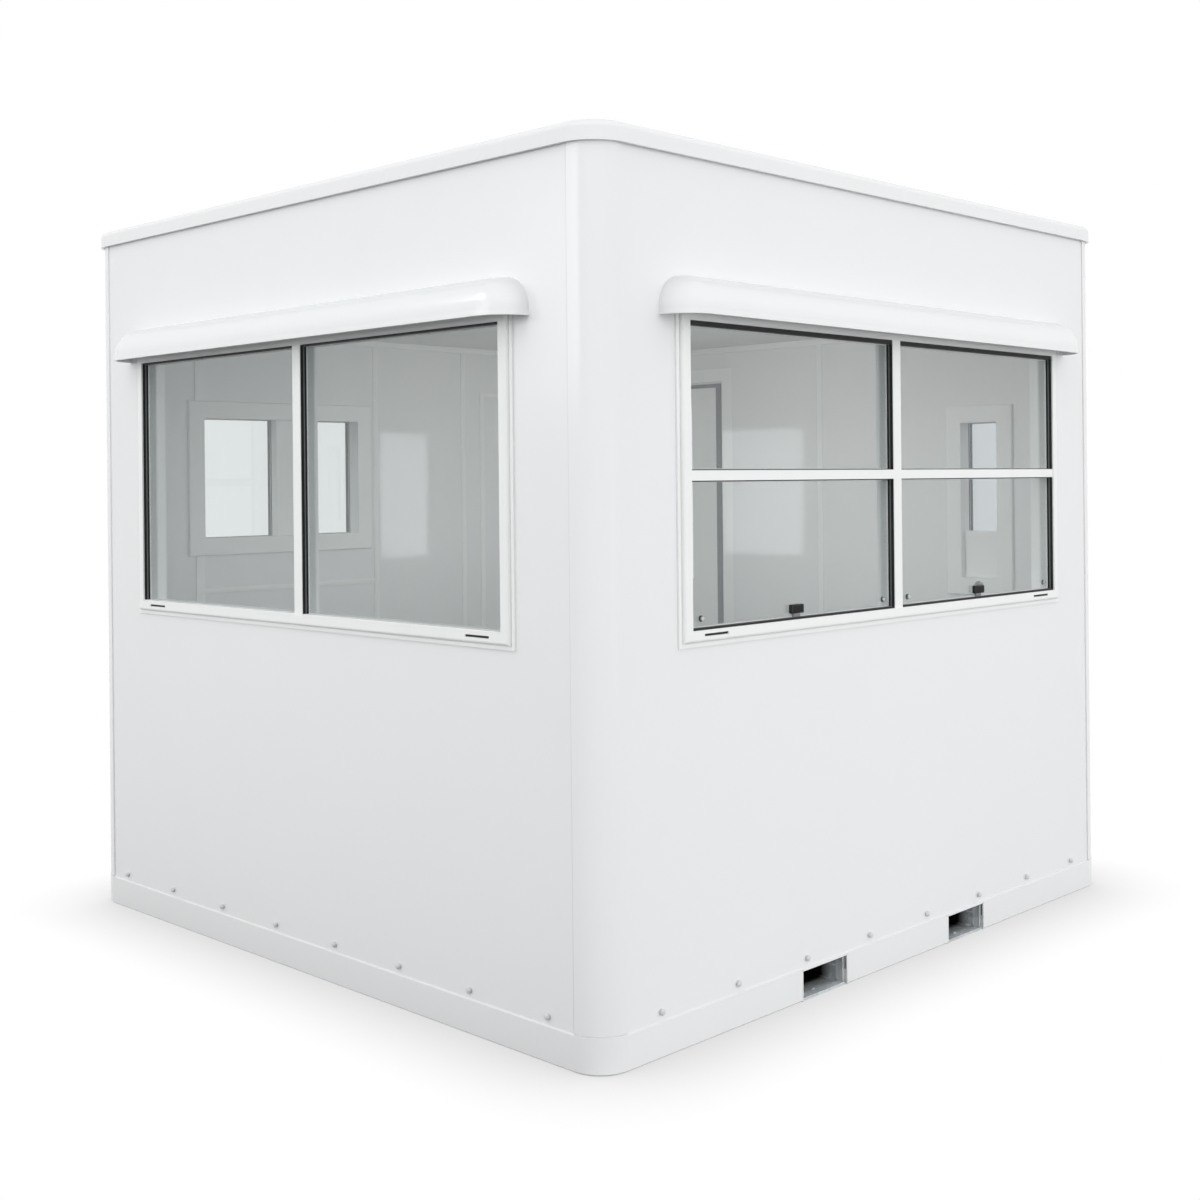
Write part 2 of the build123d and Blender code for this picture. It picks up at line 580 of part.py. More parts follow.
save("door_frame", RIGHT * door_frame())
save("door_threshold", RIGHT * door_threshold())
save("door_leaf", RIGHT * door_leaf())
save("door_glass", RIGHT * door_glass())
save("door_handles", RIGHT * lever_handle(-JAMB_PROUD, -1), RIGHT * lever_handle(LEAF_BACK, 1))
save("door_hinge_pins", *[RIGHT * hinge_pin(z) for z in hinge_heights()])
save("door_hinge_knuckles", *[RIGHT * hinge_knuckle(z) for z in hinge_heights()])
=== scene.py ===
# %% [markdown]
# # A guard booth in white gel-coat
# The booth is a white moulded hut, about two and a half metres each way. Its walls, corner posts, roof,
# windows and door are exact solids that arrive in the frame, so this lesson doesn't move or reshape them.
# It gives every surface its finish, adds the small things that are too fine for the solids, and lights
# the booth as in a plain white studio.

# %% Load the frame
import json
import math

import bpy
from mathutils import Matrix, Vector


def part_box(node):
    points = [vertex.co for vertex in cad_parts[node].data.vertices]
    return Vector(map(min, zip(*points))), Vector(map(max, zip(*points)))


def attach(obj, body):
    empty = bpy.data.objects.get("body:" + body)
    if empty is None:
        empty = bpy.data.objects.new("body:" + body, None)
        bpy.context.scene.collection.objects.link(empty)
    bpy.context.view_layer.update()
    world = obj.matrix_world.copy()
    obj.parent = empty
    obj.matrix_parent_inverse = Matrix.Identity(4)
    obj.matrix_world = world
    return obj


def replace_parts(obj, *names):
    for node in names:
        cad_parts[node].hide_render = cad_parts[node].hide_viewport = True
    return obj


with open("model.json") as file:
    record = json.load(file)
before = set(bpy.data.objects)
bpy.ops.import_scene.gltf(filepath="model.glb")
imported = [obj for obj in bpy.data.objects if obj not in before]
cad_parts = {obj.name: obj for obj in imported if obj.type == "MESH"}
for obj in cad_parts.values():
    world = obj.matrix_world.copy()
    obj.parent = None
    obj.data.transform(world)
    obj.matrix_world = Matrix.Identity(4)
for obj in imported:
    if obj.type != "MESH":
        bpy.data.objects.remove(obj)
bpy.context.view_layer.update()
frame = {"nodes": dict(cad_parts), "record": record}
nodes = frame["nodes"]
MM = 0.001

# %% [markdown]
# ## Camera
# The picture was taken from the height of the window bars, looking level at the near corner, with the
# lens shifted so that upright edges stay upright. A level camera with a lens shift gives the same
# picture. Turning the camera down instead would make the walls lean.

# %% Camera
PICTURE_PIXELS = 1200
SENSOR_MM = 36.0
FOCAL_PIXELS = 1558.9
CENTRE_PIXEL_X = 613.8
HORIZON_PIXEL_Y = 480.7
CAMERA_PLACE = (-3.927, -3.8925, 1.4517)
CAMERA_HEADING_DEGREES = 44.28
CAMERA_ROLL_DEGREES = -0.57


def turned(degrees, axis="Z"):
    """A turn about an axis."""
    return Matrix.Rotation(math.radians(degrees), 4, axis)


bpy.ops.object.select_all(action="DESELECT")
bpy.ops.object.camera_add()
camera = bpy.context.object
camera.data.sensor_width = SENSOR_MM
camera.data.lens = FOCAL_PIXELS / PICTURE_PIXELS * SENSOR_MM
camera.data.shift_x = (PICTURE_PIXELS / 2 - CENTRE_PIXEL_X) / PICTURE_PIXELS
camera.data.shift_y = (HORIZON_PIXEL_Y - PICTURE_PIXELS / 2) / PICTURE_PIXELS
heading = turned(CAMERA_HEADING_DEGREES - 90)
level = turned(90, "X")
camera.matrix_world = Matrix.Translation(CAMERA_PLACE) @ heading @ level @ turned(CAMERA_ROLL_DEGREES)
bpy.context.scene.camera = camera
bpy.context.scene.view_settings.view_transform = "Standard"
print("camera: lens", round(camera.data.lens, 2), "mm")

# %% [markdown]
# ## Helpers for materials
# A colour is written as the hex value that a screen shows, and one function turns it to the linear
# values that the renderer works with. Another function adds a node, sets its sockets and links what
# feeds it. The small functions after it each add one common node, so that a finish below reads as a
# short list. The mix node has sockets for several kinds of value, and the colour ones are picked by number.

# %% Colour and node helpers
MIX_FIRST_COLOUR = 6
MIX_SECOND_COLOUR = 7
MIX_COLOUR_RESULT = 2
COAT_IOR = 1.5


def linear(hex_colour):
    """Linear red, green, blue and alpha of a screen colour such as #ECEEEF."""
    channels = [int(hex_colour[i:i + 2], 16) / 255 for i in (1, 3, 5)]
    return [c / 12.92 if c <= 0.04045 else ((c + 0.055) / 1.055) ** 2.4 for c in channels] + [1.0]


def add_node(tree, kind, sockets=None, **settings):
    """Add a node, set its properties, and set or link each named socket."""
    node = tree.nodes.new(kind)
    for name, value in settings.items():
        setattr(node, name, value)
    for name, value in (sockets or {}).items():
        if isinstance(value, bpy.types.NodeSocket):
            tree.links.new(value, node.inputs[name])
        else:
            node.inputs[name].default_value = value
    return node


def start_material(name):
    """A new material with its tree, and the object coordinates in metres."""
    material = bpy.data.materials.new(name)
    material.use_nodes = True
    material.node_tree.nodes.clear()
    coordinates = add_node(material.node_tree, "ShaderNodeTexCoord").outputs["Object"]
    return material, material.node_tree, coordinates


def finish_material(tree, surface):
    """Link the last shader to the material's output."""
    add_node(tree, "ShaderNodeOutputMaterial", {"Surface": surface})


def coat(tree, **sockets):
    """End a material in one principled shader. Its sockets are named with _ for a space."""
    named = {name.replace("_", " "): value for name, value in sockets.items()}
    shader = add_node(tree, "ShaderNodeBsdfPrincipled", named)
    finish_material(tree, shader.outputs["BSDF"])


def per_metre(size_mm):
    """Texture scale whose features are about this many millimetres across."""
    return 1000.0 / size_mm


def noise(tree, place, size_mm, detail=2.0):
    """Noise from 0 to 1 with features about this many millimetres across."""
    sockets = {"Vector": place, "Scale": per_metre(size_mm), "Detail": detail}
    return add_node(tree, "ShaderNodeTexNoise", sockets).outputs["Fac"]


def cells(tree, place, size_mm):
    """A random colour for each cell of a pattern with cells of about this many millimetres."""
    pattern = add_node(tree, "ShaderNodeTexVoronoi", {"Vector": place, "Scale": per_metre(size_mm)})
    return add_node(tree, "ShaderNodeSeparateColor", {"Color": pattern.outputs["Color"]})


def blend(tree, factor, first, second):
    """A colour between two others, each a hex value or a socket."""
    ends = [linear(colour) if isinstance(colour, str) else colour for colour in (first, second)]
    sockets = {"Factor": factor, MIX_FIRST_COLOUR: ends[0], MIX_SECOND_COLOUR: ends[1]}
    return add_node(tree, "ShaderNodeMix", sockets, data_type="RGBA").outputs[MIX_COLOUR_RESULT]


def spread(tree, value, limits):
    """A value from 0 to 1, spread between two limits."""
    sockets = {"Value": value, "To Min": limits[0], "To Max": limits[1]}
    return add_node(tree, "ShaderNodeMapRange", sockets).outputs["Result"]


def ramp(tree, value, limits):
    """From 0 where a value is at its lower limit to 1 at its upper one."""
    sockets = {"Value": value, "From Min": limits[0], "From Max": limits[1]}
    return add_node(tree, "ShaderNodeMapRange", sockets).outputs["Result"]


def bumps(tree, height, height_mm, **below):
    """A normal tilted by a height map, on top of the bumps below."""
    sockets = {"Height": height, "Strength": 1.0, "Distance": height_mm * MM, **below}
    return add_node(tree, "ShaderNodeBump", sockets).outputs["Normal"]


def axis_value(tree, vector, letter):
    """One of the X, Y and Z values of a vector."""
    return add_node(tree, "ShaderNodeSeparateXYZ", {"Vector": vector}).outputs[letter]


def work_out(tree, operation, *values):
    """The result of a sum on one or two values."""
    return add_node(tree, "ShaderNodeMath", dict(enumerate(values)), operation=operation).outputs["Value"]


def either(tree, factor, first, second):
    """One shader where the factor is 0 and another where it is 1."""
    return add_node(tree, "ShaderNodeMixShader", {0: factor, 1: first, 2: second}).outputs["Shader"]


# %% [markdown]
# ## White gel-coat
# The walls, posts, roof, skirt and hoods are glass fibre with a white gel-coat, sprayed into a polished
# mould. The eye sees a clean white with a soft gloss, a very slight waviness that bends long
# reflections, and a fine orange peel. What lies level, the roof, the top of each hood and the ledge of
# the skirt, is greyed: partly by a film of dust and partly as painted shade that tones down the sky light
# on faces that look up.

# %% White gel-coat
GEL_COAT_LIGHT = "#EFF0F1"
GEL_COAT_SHADE = "#EDEEEF"
GEL_COAT_ROUGHNESS = (0.14, 0.22)
GEL_COAT_MOTTLE_MM = 350.0
GEL_COAT_WAVE_MM = 420.0
GEL_COAT_WAVE_HEIGHT_MM = 0.25
GEL_COAT_PEEL_MM = 9.0
GEL_COAT_PEEL_HEIGHT_MM = 0.01
GEL_COAT_DUST_AND_SHADE = "#E0E2E3"
DUST_AND_SHADE_RISE = (0.2, 0.95)


def white_gel_coat():
    """White moulded skin, greyed on what lies level by dust and by painted shade."""
    material, tree, place = start_material("white_gel_coat")
    mottle = noise(tree, place, GEL_COAT_MOTTLE_MM, detail=4.0)
    clean = blend(tree, mottle, GEL_COAT_SHADE, GEL_COAT_LIGHT)
    facing = add_node(tree, "ShaderNodeNewGeometry").outputs["Normal"]
    # Dust and painted shade: faces that look up are greyed.
    lying = ramp(tree, axis_value(tree, facing, "Z"), DUST_AND_SHADE_RISE)
    wave = noise(tree, place, GEL_COAT_WAVE_MM, detail=1.0)
    peel = noise(tree, place, GEL_COAT_PEEL_MM)
    waves = bumps(tree, wave, GEL_COAT_WAVE_HEIGHT_MM)
    coat(tree, Base_Color=blend(tree, lying, clean, GEL_COAT_DUST_AND_SHADE), IOR=COAT_IOR,
         Roughness=spread(tree, mottle, GEL_COAT_ROUGHNESS),
         Normal=bumps(tree, peel, GEL_COAT_PEEL_HEIGHT_MM, Normal=waves))
    return material


# %% [markdown]
# ## White powder coat
# Window and door frames are aluminium sections with a baked white powder coat. It is a little whiter
# than the gel-coat, with a satin gloss and a faint grain.

# %% White powder coat
POWDER_LIGHT = "#F6F7F7"
POWDER_SHADE = "#F0F2F2"
POWDER_ROUGHNESS = (0.3, 0.4)
POWDER_CLOUD_MM = 160.0
POWDER_GRAIN_MM = 4.0
POWDER_GRAIN_HEIGHT_MM = 0.012


def white_powder_coat():
    """Satin white with a fine grain."""
    material, tree, place = start_material("white_powder_coat")
    cloud = noise(tree, place, POWDER_CLOUD_MM)
    grain = noise(tree, place, POWDER_GRAIN_MM)
    coat(tree, Base_Color=blend(tree, cloud, POWDER_SHADE, POWDER_LIGHT), IOR=COAT_IOR,
         Roughness=spread(tree, cloud, POWDER_ROUGHNESS),
         Normal=bumps(tree, grain, POWDER_GRAIN_HEIGHT_MM))
    return material


# %% [markdown]
# ## Window glass
# Float glass is clear with a faint blue-grey cast, which shows where the eye looks out through two panes.
# The narrow window has a greyer pane. A real pane lets lamps light the room behind it, so rays that carry
# light meet a transparent shader that keeps the same share at the two faces of the pane, and the eye
# meets real glass.

# %% Window glass
GLASS_TINT = "#ECEFEF"
GREY_GLASS_TINT = "#CDD2D4"
GLASS_FACE_TINT = "#F2F4F4"
GLASS_IOR = 1.5


def float_glass(name, tint):
    """Clear glass with a tint, which lets light through to the room."""
    material, tree, _ = start_material(name)
    pane = add_node(tree, "ShaderNodeBsdfPrincipled",
                    {"Base Color": linear(tint), "Roughness": 0.0, "IOR": GLASS_IOR,
                     "Transmission Weight": 1.0})
    clear = add_node(tree, "ShaderNodeBsdfTransparent", {"Color": linear(GLASS_FACE_TINT)})
    path = add_node(tree, "ShaderNodeLightPath").outputs
    lighting = work_out(tree, "MAXIMUM", path["Is Shadow Ray"], path["Is Diffuse Ray"])
    finish_material(tree, either(tree, lighting, pane.outputs["BSDF"], clear.outputs["BSDF"]))
    return material


# %% [markdown]
# ## Rubber and plastic
# The glazing channels are extruded rubber, dull and nearly black. The pane latches are moulded in black
# plastic with a slight sheen. The fins in the channels and the seals of the door are grey extrusions. The
# linings behind the glass and the cover strips inside are white ones, and the bolts have white plastic
# caps. The beads beside the corner posts are grey as painted shade for the step there. All differ only
# in colour, grain and gloss, so a table is enough.

# %% Rubber and plastic
MOULDING_ROUGHNESS_SWING = 0.08
MOULDINGS = {
    "black_rubber": {"dark": "#121314", "pale": "#1E1F20", "roughness": 0.6, "relief_mm": 0.1},
    "black_plastic": {"dark": "#101112", "pale": "#1A1B1C", "roughness": 0.42, "relief_mm": 0.03,
                      "grain_mm": 1.5},
    "track_grey": {"dark": "#6B7072", "pale": "#787D7F", "roughness": 0.45},
    "reveal_white": {"dark": "#F1F3F3", "pale": "#F7F8F8"},
    "cap_white": {"dark": "#D2D5D7", "pale": "#DADDDE", "roughness": 0.4},
    "joint_shade_grey": {"dark": "#DADCDD", "pale": "#E0E2E3"},
    "seal_grey": {"dark": "#85898B", "pale": "#919597"},
}


def moulding(name, dark, pale, grain_mm=60.0, roughness=0.5, relief_mm=0.02):
    """A dull moulded skin between two tones."""
    material, tree, place = start_material(name)
    dust = noise(tree, place, grain_mm, detail=5.0)
    limits = (roughness - MOULDING_ROUGHNESS_SWING, roughness + MOULDING_ROUGHNESS_SWING)
    coat(tree, Base_Color=blend(tree, dust, dark, pale), IOR=COAT_IOR,
         Roughness=spread(tree, dust, limits), Normal=bumps(tree, dust, relief_mm))
    return material


# %% [markdown]
# ## Galvanised and stainless steel
# The fork pockets and bearers are dipped in zinc, which freezes into large leaf-like crystals: a
# Voronoi pattern gives each crystal its own grey and its own gloss. Further in from the mouths of the
# pockets the steel is painted nearly black, as painted shade for the deep pockets. The handles, hinges
# and studs are stainless steel with a satin brushing.

# %% Galvanised and stainless steel
ZINC_LIGHT = "#DDE1E3"
ZINC_DARK = "#C3C9CC"
ZINC_ROUGHNESS = (0.35, 0.55)
ZINC_METAL_SHARE = 0.15
ZINC_CRYSTAL_MM = 22.0
ZINC_WARP_SHARE = 0.012
POCKET_SHADE_DARK = "#0C0D0D"
POCKET_SHADE_FROM_MIDDLE = (1.145, 1.182)
STEEL_LIGHT = "#D4D5D6"
STEEL_DARK = "#B4B6B8"
STEEL_ROUGHNESS = (0.22, 0.38)
STEEL_BRUSH_MM = 0.8
STEEL_BRUSH_DETAIL = 3.0
BRUSH_LENGTH_SHARE = 0.02


def galvanised_steel():
    """Zinc crystals, painted nearly black as shade further in from the mouths of the pockets."""
    material, tree, place = start_material("galvanised_steel")
    warp = add_node(tree, "ShaderNodeTexNoise",
                    {"Vector": place, "Scale": per_metre(ZINC_CRYSTAL_MM), "Detail": 3.0})
    bent = add_node(tree, "ShaderNodeMixRGB",
                    {"Fac": ZINC_WARP_SHARE, "Color1": place, "Color2": warp.outputs["Color"]})
    crystal = cells(tree, bent.outputs["Color"], ZINC_CRYSTAL_MM).outputs
    bright = blend(tree, crystal["Red"], ZINC_DARK, ZINC_LIGHT)
    # Painted shade: the steel turns nearly black further in from the mouths of the pockets.
    outwards = work_out(tree, "ABSOLUTE", axis_value(tree, place, "Y"))
    unshaded_share = ramp(tree, outwards, POCKET_SHADE_FROM_MIDDLE)
    coat(tree, Base_Color=blend(tree, unshaded_share, POCKET_SHADE_DARK, bright), Metallic=ZINC_METAL_SHARE,
         Roughness=spread(tree, crystal["Green"], ZINC_ROUGHNESS))
    return material


def brushed_metal(name, stretch, line_mm, detail, dark, light, roughness):
    """Bare metal with fine lines along one axis."""
    material, tree, place = start_material(name)
    along = add_node(tree, "ShaderNodeMapping", {"Vector": place, "Scale": stretch})
    lines = noise(tree, along.outputs["Vector"], line_mm, detail)
    coat(tree, Base_Color=blend(tree, lines, dark, light), Metallic=1.0,
         Roughness=spread(tree, lines, roughness))
    return material


def stainless_steel():
    """Satin steel, brushed upwards."""
    return brushed_metal("stainless_steel", (1.0, 1.0, BRUSH_LENGTH_SHARE), STEEL_BRUSH_MM,
                         STEEL_BRUSH_DETAIL, STEEL_DARK, STEEL_LIGHT, STEEL_ROUGHNESS)


# %% [markdown]
# ## Lining, floor and threshold
# Inside, the ceiling is a satin white sheet, the floor a grey speckled vinyl, and the threshold plain
# aluminium with the fine lines of its extrusion.

# %% Lining, floor and threshold
LINING_LIGHT = "#E5E7E4"
LINING_SHADE = "#DDDFDC"
LINING_ROUGHNESS = (0.3, 0.42)
LINING_CLOUD_MM = 260.0
VINYL_GREY = "#899298"
VINYL_FLECK = "#74797B"
VINYL_ROUGHNESS = (0.45, 0.65)
VINYL_FLECK_MM = 9.0
VINYL_PLAIN_SHARES = (0.7, 0.75)
VINYL_WEAR_MM = 270.0
MILL_LIGHT = "#C9CBCD"
MILL_DARK = "#AEB1B3"
MILL_ROUGHNESS = (0.3, 0.45)
MILL_LINE_MM = 1.2
MILL_LINE_DETAIL = 2.0


def satin_lining():
    """Satin white sheet."""
    material, tree, place = start_material("satin_lining")
    cloud = noise(tree, place, LINING_CLOUD_MM, detail=3.0)
    coat(tree, Base_Color=blend(tree, cloud, LINING_SHADE, LINING_LIGHT), IOR=COAT_IOR,
         Roughness=spread(tree, cloud, LINING_ROUGHNESS))
    return material


def speckled_vinyl():
    """Grey sheet in which some cells are darker flecks."""
    material, tree, place = start_material("speckled_vinyl")
    fleck = ramp(tree, cells(tree, place, VINYL_FLECK_MM).outputs["Red"], VINYL_PLAIN_SHARES)
    wear = noise(tree, place, VINYL_WEAR_MM)
    coat(tree, Base_Color=blend(tree, fleck, VINYL_GREY, VINYL_FLECK), IOR=COAT_IOR,
         Roughness=spread(tree, wear, VINYL_ROUGHNESS))
    return material


def mill_aluminium():
    """Bare aluminium with lines along the sill."""
    return brushed_metal("mill_aluminium", (1.0, BRUSH_LENGTH_SHARE, 1.0), MILL_LINE_MM,
                         MILL_LINE_DETAIL, MILL_DARK, MILL_LIGHT, MILL_ROUGHNESS)


# %% [markdown]
# ## Dress the solids
# Each solid belongs to one of the record's material slots. A table from slot to finish is enough to
# dress them all, apart from the greyer pane of the narrow window.

# %% Dress the solids
mouldings = {name: moulding(name, **values) for name, values in MOULDINGS.items()}
finishes = {
    "shell": white_gel_coat(),
    "frame": white_powder_coat(),
    "glass": float_glass("float_glass", GLASS_TINT),
    "rubber": mouldings["black_rubber"],
    "black_plastic": mouldings["black_plastic"],
    "galvanised": galvanised_steel(),
    "stainless": stainless_steel(),
    "lining": satin_lining(),
    "floor": speckled_vinyl(),
    "threshold": mill_aluminium(),
}
for entry in frame["record"]["subparts"]:
    for material_slot in nodes[entry["node"]].material_slots:
        material_slot.material = finishes[entry["material_slot"]]
for material_slot in nodes["right_window_glass"].material_slots:
    material_slot.material = float_glass("grey_glass", GREY_GLASS_TINT)

# %% [markdown]
# ## Helpers for the small pieces
# The pieces below are modelled as by hand: start from a simple form, pick faces by where they look, then
# pull, inset or bevel them. Each is drawn in the frame of its wall, with x to the right as seen from
# outside, y into the wall and z up, so one drawing serves all four walls. A finished piece keeps its
# place in its mesh, so its transform is applied at the end.

# %% Helpers for the small pieces
SMOOTH_ANGLE = math.radians(40)
SAME_WAY_COSINE = 0.9
OUTWARDS = (0, -1, 0)
INWARDS = (0, 1, 0)
walls = {
    "front": Matrix.Translation((0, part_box("front_wall")[0].y, 0)),
    "left": Matrix.Translation((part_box("left_wall")[0].x, 0, 0)) @ turned(-90),
    "back": Matrix.Translation((0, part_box("back_wall")[1].y, 0)) @ turned(180),
    "right": Matrix.Translation((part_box("right_wall")[1].x, 0, 0)) @ turned(90),
}


def shift(x, y, z):
    """A move by millimetres."""
    return Matrix.Translation((x * MM, y * MM, z * MM))


def spaced(count, pitch):
    """Places of a row that is centred on zero."""
    return [(i - (count - 1) / 2) * pitch for i in range(count)]


def wall_box(wall, node):
    """Lowest and highest corner of a node in a wall's own frame, in millimetres."""
    corners = [walls[wall].inverted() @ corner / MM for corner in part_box(node)]
    low = [min(pair) for pair in zip(*corners)]
    high = [max(pair) for pair in zip(*corners)]
    return Vector(low), Vector(high)


def choose(piece):
    """Make a piece the only selected and the active one."""
    bpy.ops.object.select_all(action="DESELECT")
    piece.select_set(True)
    bpy.context.view_layer.objects.active = piece


def start_box(low, high):
    """A box between two corners in millimetres."""
    low = Vector(low) * MM
    high = Vector(high) * MM
    bpy.ops.object.select_all(action="DESELECT")
    bpy.ops.mesh.primitive_cube_add(size=1.0, location=(low + high) / 2)
    piece = bpy.context.object
    piece.scale = high - low
    bpy.ops.object.transform_apply(location=True, rotation=True, scale=True)
    return piece


def start_bar(radius, length, sides):
    """A round bar along y that stands outwards from zero, in millimetres."""
    bpy.ops.object.select_all(action="DESELECT")
    bpy.ops.mesh.primitive_cylinder_add(vertices=sides, radius=radius * MM, depth=length * MM,
                                        location=(0, -length / 2 * MM, 0), rotation=(math.radians(90), 0, 0))
    bpy.ops.object.transform_apply(location=True, rotation=True, scale=True)
    return bpy.context.object


def pick_faces(piece, direction):
    """Edit a piece with only the faces selected that look in a direction."""
    choose(piece)
    bpy.ops.object.mode_set(mode="EDIT")
    bpy.ops.mesh.select_mode(type="FACE")
    bpy.ops.mesh.select_all(action="DESELECT")
    bpy.ops.object.mode_set(mode="OBJECT")
    for face in piece.data.polygons:
        face.select = face.normal.dot(Vector(direction)) > SAME_WAY_COSINE
    bpy.ops.object.mode_set(mode="EDIT")


def dome(piece, steps):
    """Extrude the front of a bar in steps, each a length in millimetres and a share of the last width."""
    pick_faces(piece, OUTWARDS)
    for out, width_share in steps:
        bpy.ops.mesh.extrude_region_move(TRANSFORM_OT_translate={"value": (0, -out * MM, 0)})
        bpy.ops.transform.resize(value=(width_share, 1, width_share), center_override=(0, 0, 0))
    bpy.ops.object.mode_set(mode="OBJECT")


def dish(piece, direction, border, depth):
    """Inset the faces that look in a direction by a border, and sink them, in millimetres."""
    pick_faces(piece, direction)
    bpy.ops.mesh.inset(thickness=border * MM)
    bpy.ops.transform.translate(value=Vector(direction) * -depth * MM)
    bpy.ops.object.mode_set(mode="OBJECT")


def soften(piece, width, segments=2):
    """Bevel the sharp edges by millimetres and smooth the shading across the bevels."""
    choose(piece)
    bpy.ops.object.modifier_add(type="BEVEL")
    bevel = piece.modifiers[-1]
    bevel.width = width * MM
    bevel.segments = segments
    bevel.limit_method = "ANGLE"
    bpy.ops.object.modifier_apply(modifier=bevel.name)
    bpy.ops.object.shade_smooth_by_angle(angle=SMOOTH_ANGLE)
    return piece


def sleeve(edges, depths, thickness):
    """A rectangular sleeve along y: a box without its ends, thickened inwards."""
    x0, x1, z0, z1 = edges
    piece = start_box((x0, depths[0], z0), (x1, depths[1], z1))
    for end in (OUTWARDS, INWARDS):
        pick_faces(piece, end)
        bpy.ops.mesh.delete(type="FACE")
        bpy.ops.object.mode_set(mode="OBJECT")
    bpy.ops.object.modifier_add(type="SOLIDIFY")
    shell = piece.modifiers[-1]
    shell.thickness = thickness * MM
    shell.offset = -1.0
    shell.use_even_offset = True
    bpy.ops.object.modifier_apply(modifier=shell.name)
    return piece


def gather(parts):
    """Join parts into one piece and apply its transform."""
    bpy.ops.object.select_all(action="DESELECT")
    for part in parts:
        part.select_set(True)
    bpy.context.view_layer.objects.active = parts[0]
    if len(parts) > 1:
        bpy.ops.object.join()
    bpy.ops.object.transform_apply(location=True, rotation=True, scale=True)
    return bpy.context.object


def repeat(piece, places):
    """A copy of a piece at each place, every copy with a mesh of its own, joined into one."""
    twins = []
    for place in places:
        choose(piece)
        bpy.ops.object.duplicate()
        twin = bpy.context.object
        twin.matrix_world = place
        twins.append(twin)
    bpy.data.objects.remove(piece)
    return gather(twins)


def hand_in(piece, name, slot, finish=None, body="booth"):
    """Name a piece, dress it in its slot's finish or another one, and fix it to a body."""
    piece.name = name
    piece.data.materials.clear()
    piece.data.materials.append(finish or finishes[slot])
    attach(piece, body)
    print("made", name, len(piece.data.polygons), "faces")
    return piece


# %% [markdown]
# ## Bolts along the foot of the walls
# A row of bolts with white caps holds each wall to the base, 300 millimetres apart. A cap is a small
# mushroom: the neck leaves a dark gap under the dome, and that gap is what makes the bolts readable on
# a white wall. A flat disc would vanish.

# %% Bolts along the foot of the walls
BOLT_PITCH = 300.0
BOLTS_ON_WALL = 8
BOLT_LEVEL = 117.0
BOLT_NECK_RADIUS = 5.5
BOLT_NECK_LENGTH = 4.0
BOLT_CAP_RADIUS = 8.5
BOLT_DOME_STEPS = ((2.0, 1.0), (2.2, 0.88), (1.6, 0.7), (0.7, 0.5))
BOLT_SIDES = 24

bolt = start_bar(BOLT_NECK_RADIUS, BOLT_NECK_LENGTH, BOLT_SIDES)
dome(bolt, ((0.0, BOLT_CAP_RADIUS / BOLT_NECK_RADIUS), *BOLT_DOME_STEPS))
bpy.ops.object.shade_smooth_by_angle(angle=SMOOTH_ANGLE)
doorway_start = wall_box("right", "door_frame")[0].x - BOLT_CAP_RADIUS
bolt_places = [walls[wall] @ shift(x, 0, BOLT_LEVEL) for wall in walls
               for x in spaced(BOLTS_ON_WALL, BOLT_PITCH) if wall != "right" or x < doorway_start]
hand_in(repeat(bolt, bolt_places), "wall_bolts", "frame", mouldings["cap_white"])

# %% [markdown]
# ## Joints of the corner posts
# The corner posts stand a little proud of the walls, and a bead lies in the step beside them on the
# side walls. Its grey is painted shade for the step, and from a few metres it reads as a grey hairline.
# The door frame covers the place of the fourth bead.

# %% Joints of the corner posts
JOINT_WIDTH = 4.8
JOINT_PROUD = 0.4
JOINT_SEATED = 0.4

side_low, side_high = wall_box("left", "left_wall")
joint_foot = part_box("left_skirt")[1].z / MM
joint_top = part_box("roof_cap")[0].z / MM
# Painted shade: the grey of the beads stands for the shade in the step beside each post.
joint = start_box((-JOINT_WIDTH / 2, -JOINT_PROUD, joint_foot), (JOINT_WIDTH / 2, JOINT_SEATED, joint_top))
soften(joint, JOINT_PROUD / 2)
first_joint = side_low.x + JOINT_WIDTH / 2
last_joint = side_high.x - JOINT_WIDTH / 2
joint_places = [walls[wall] @ shift(x, 0, 0)
                for wall, x in (("left", first_joint), ("left", last_joint), ("right", first_joint))]
hand_in(repeat(joint, joint_places), "post_joint_shades", "shell", mouldings["joint_shade_grey"])

# %% [markdown]
# ## Drain slots
# Two slots in each sill let water out of the glazing channel. The cut in the frame is white like the
# rest of it, and from a few metres a real slot looks black with the shade inside it, so a black insert in
# each slot paints that shade.

# %% Drain slots
DRAIN_LENGTH = 93.0
DRAIN_HEIGHT = 5.6
DRAIN_BACK = -12.0
DRAIN_FRONT = -13.6
DRAIN_MIDDLE = 92.5
DRAIN_DROP = 13.0
DRAIN_RIM = 1.0
DRAIN_DISH = 0.8
DRAIN_ROUND = 0.3

drain = start_box((-DRAIN_LENGTH / 2, DRAIN_FRONT, -DRAIN_HEIGHT / 2),
                  (DRAIN_LENGTH / 2, DRAIN_BACK, DRAIN_HEIGHT / 2))
dish(drain, OUTWARDS, DRAIN_RIM, DRAIN_DISH)
soften(drain, DRAIN_ROUND)
drain_places = []
for wall in ("front", "left", "back"):
    low, high = wall_box(wall, wall + "_window_seals")
    for x in (low.x + DRAIN_MIDDLE, high.x - DRAIN_MIDDLE):
        drain_places.append(walls[wall] @ shift(x, 0, low.z - DRAIN_DROP))
# Painted shade: the black inserts stand for the shade inside the slots.
hand_in(repeat(drain, drain_places), "drain_slot_shades", "rubber")

# %% [markdown]
# ## Channels, beads and linings round the panes
# Looked at from the side, the edge of a pane isn't one black band. A thin metal fin divides the black
# channel in two, a pale bead closes it at the glass, and the frame behind the glass is lined in white.
# Each is a thin rectangular sleeve that runs into the wall.

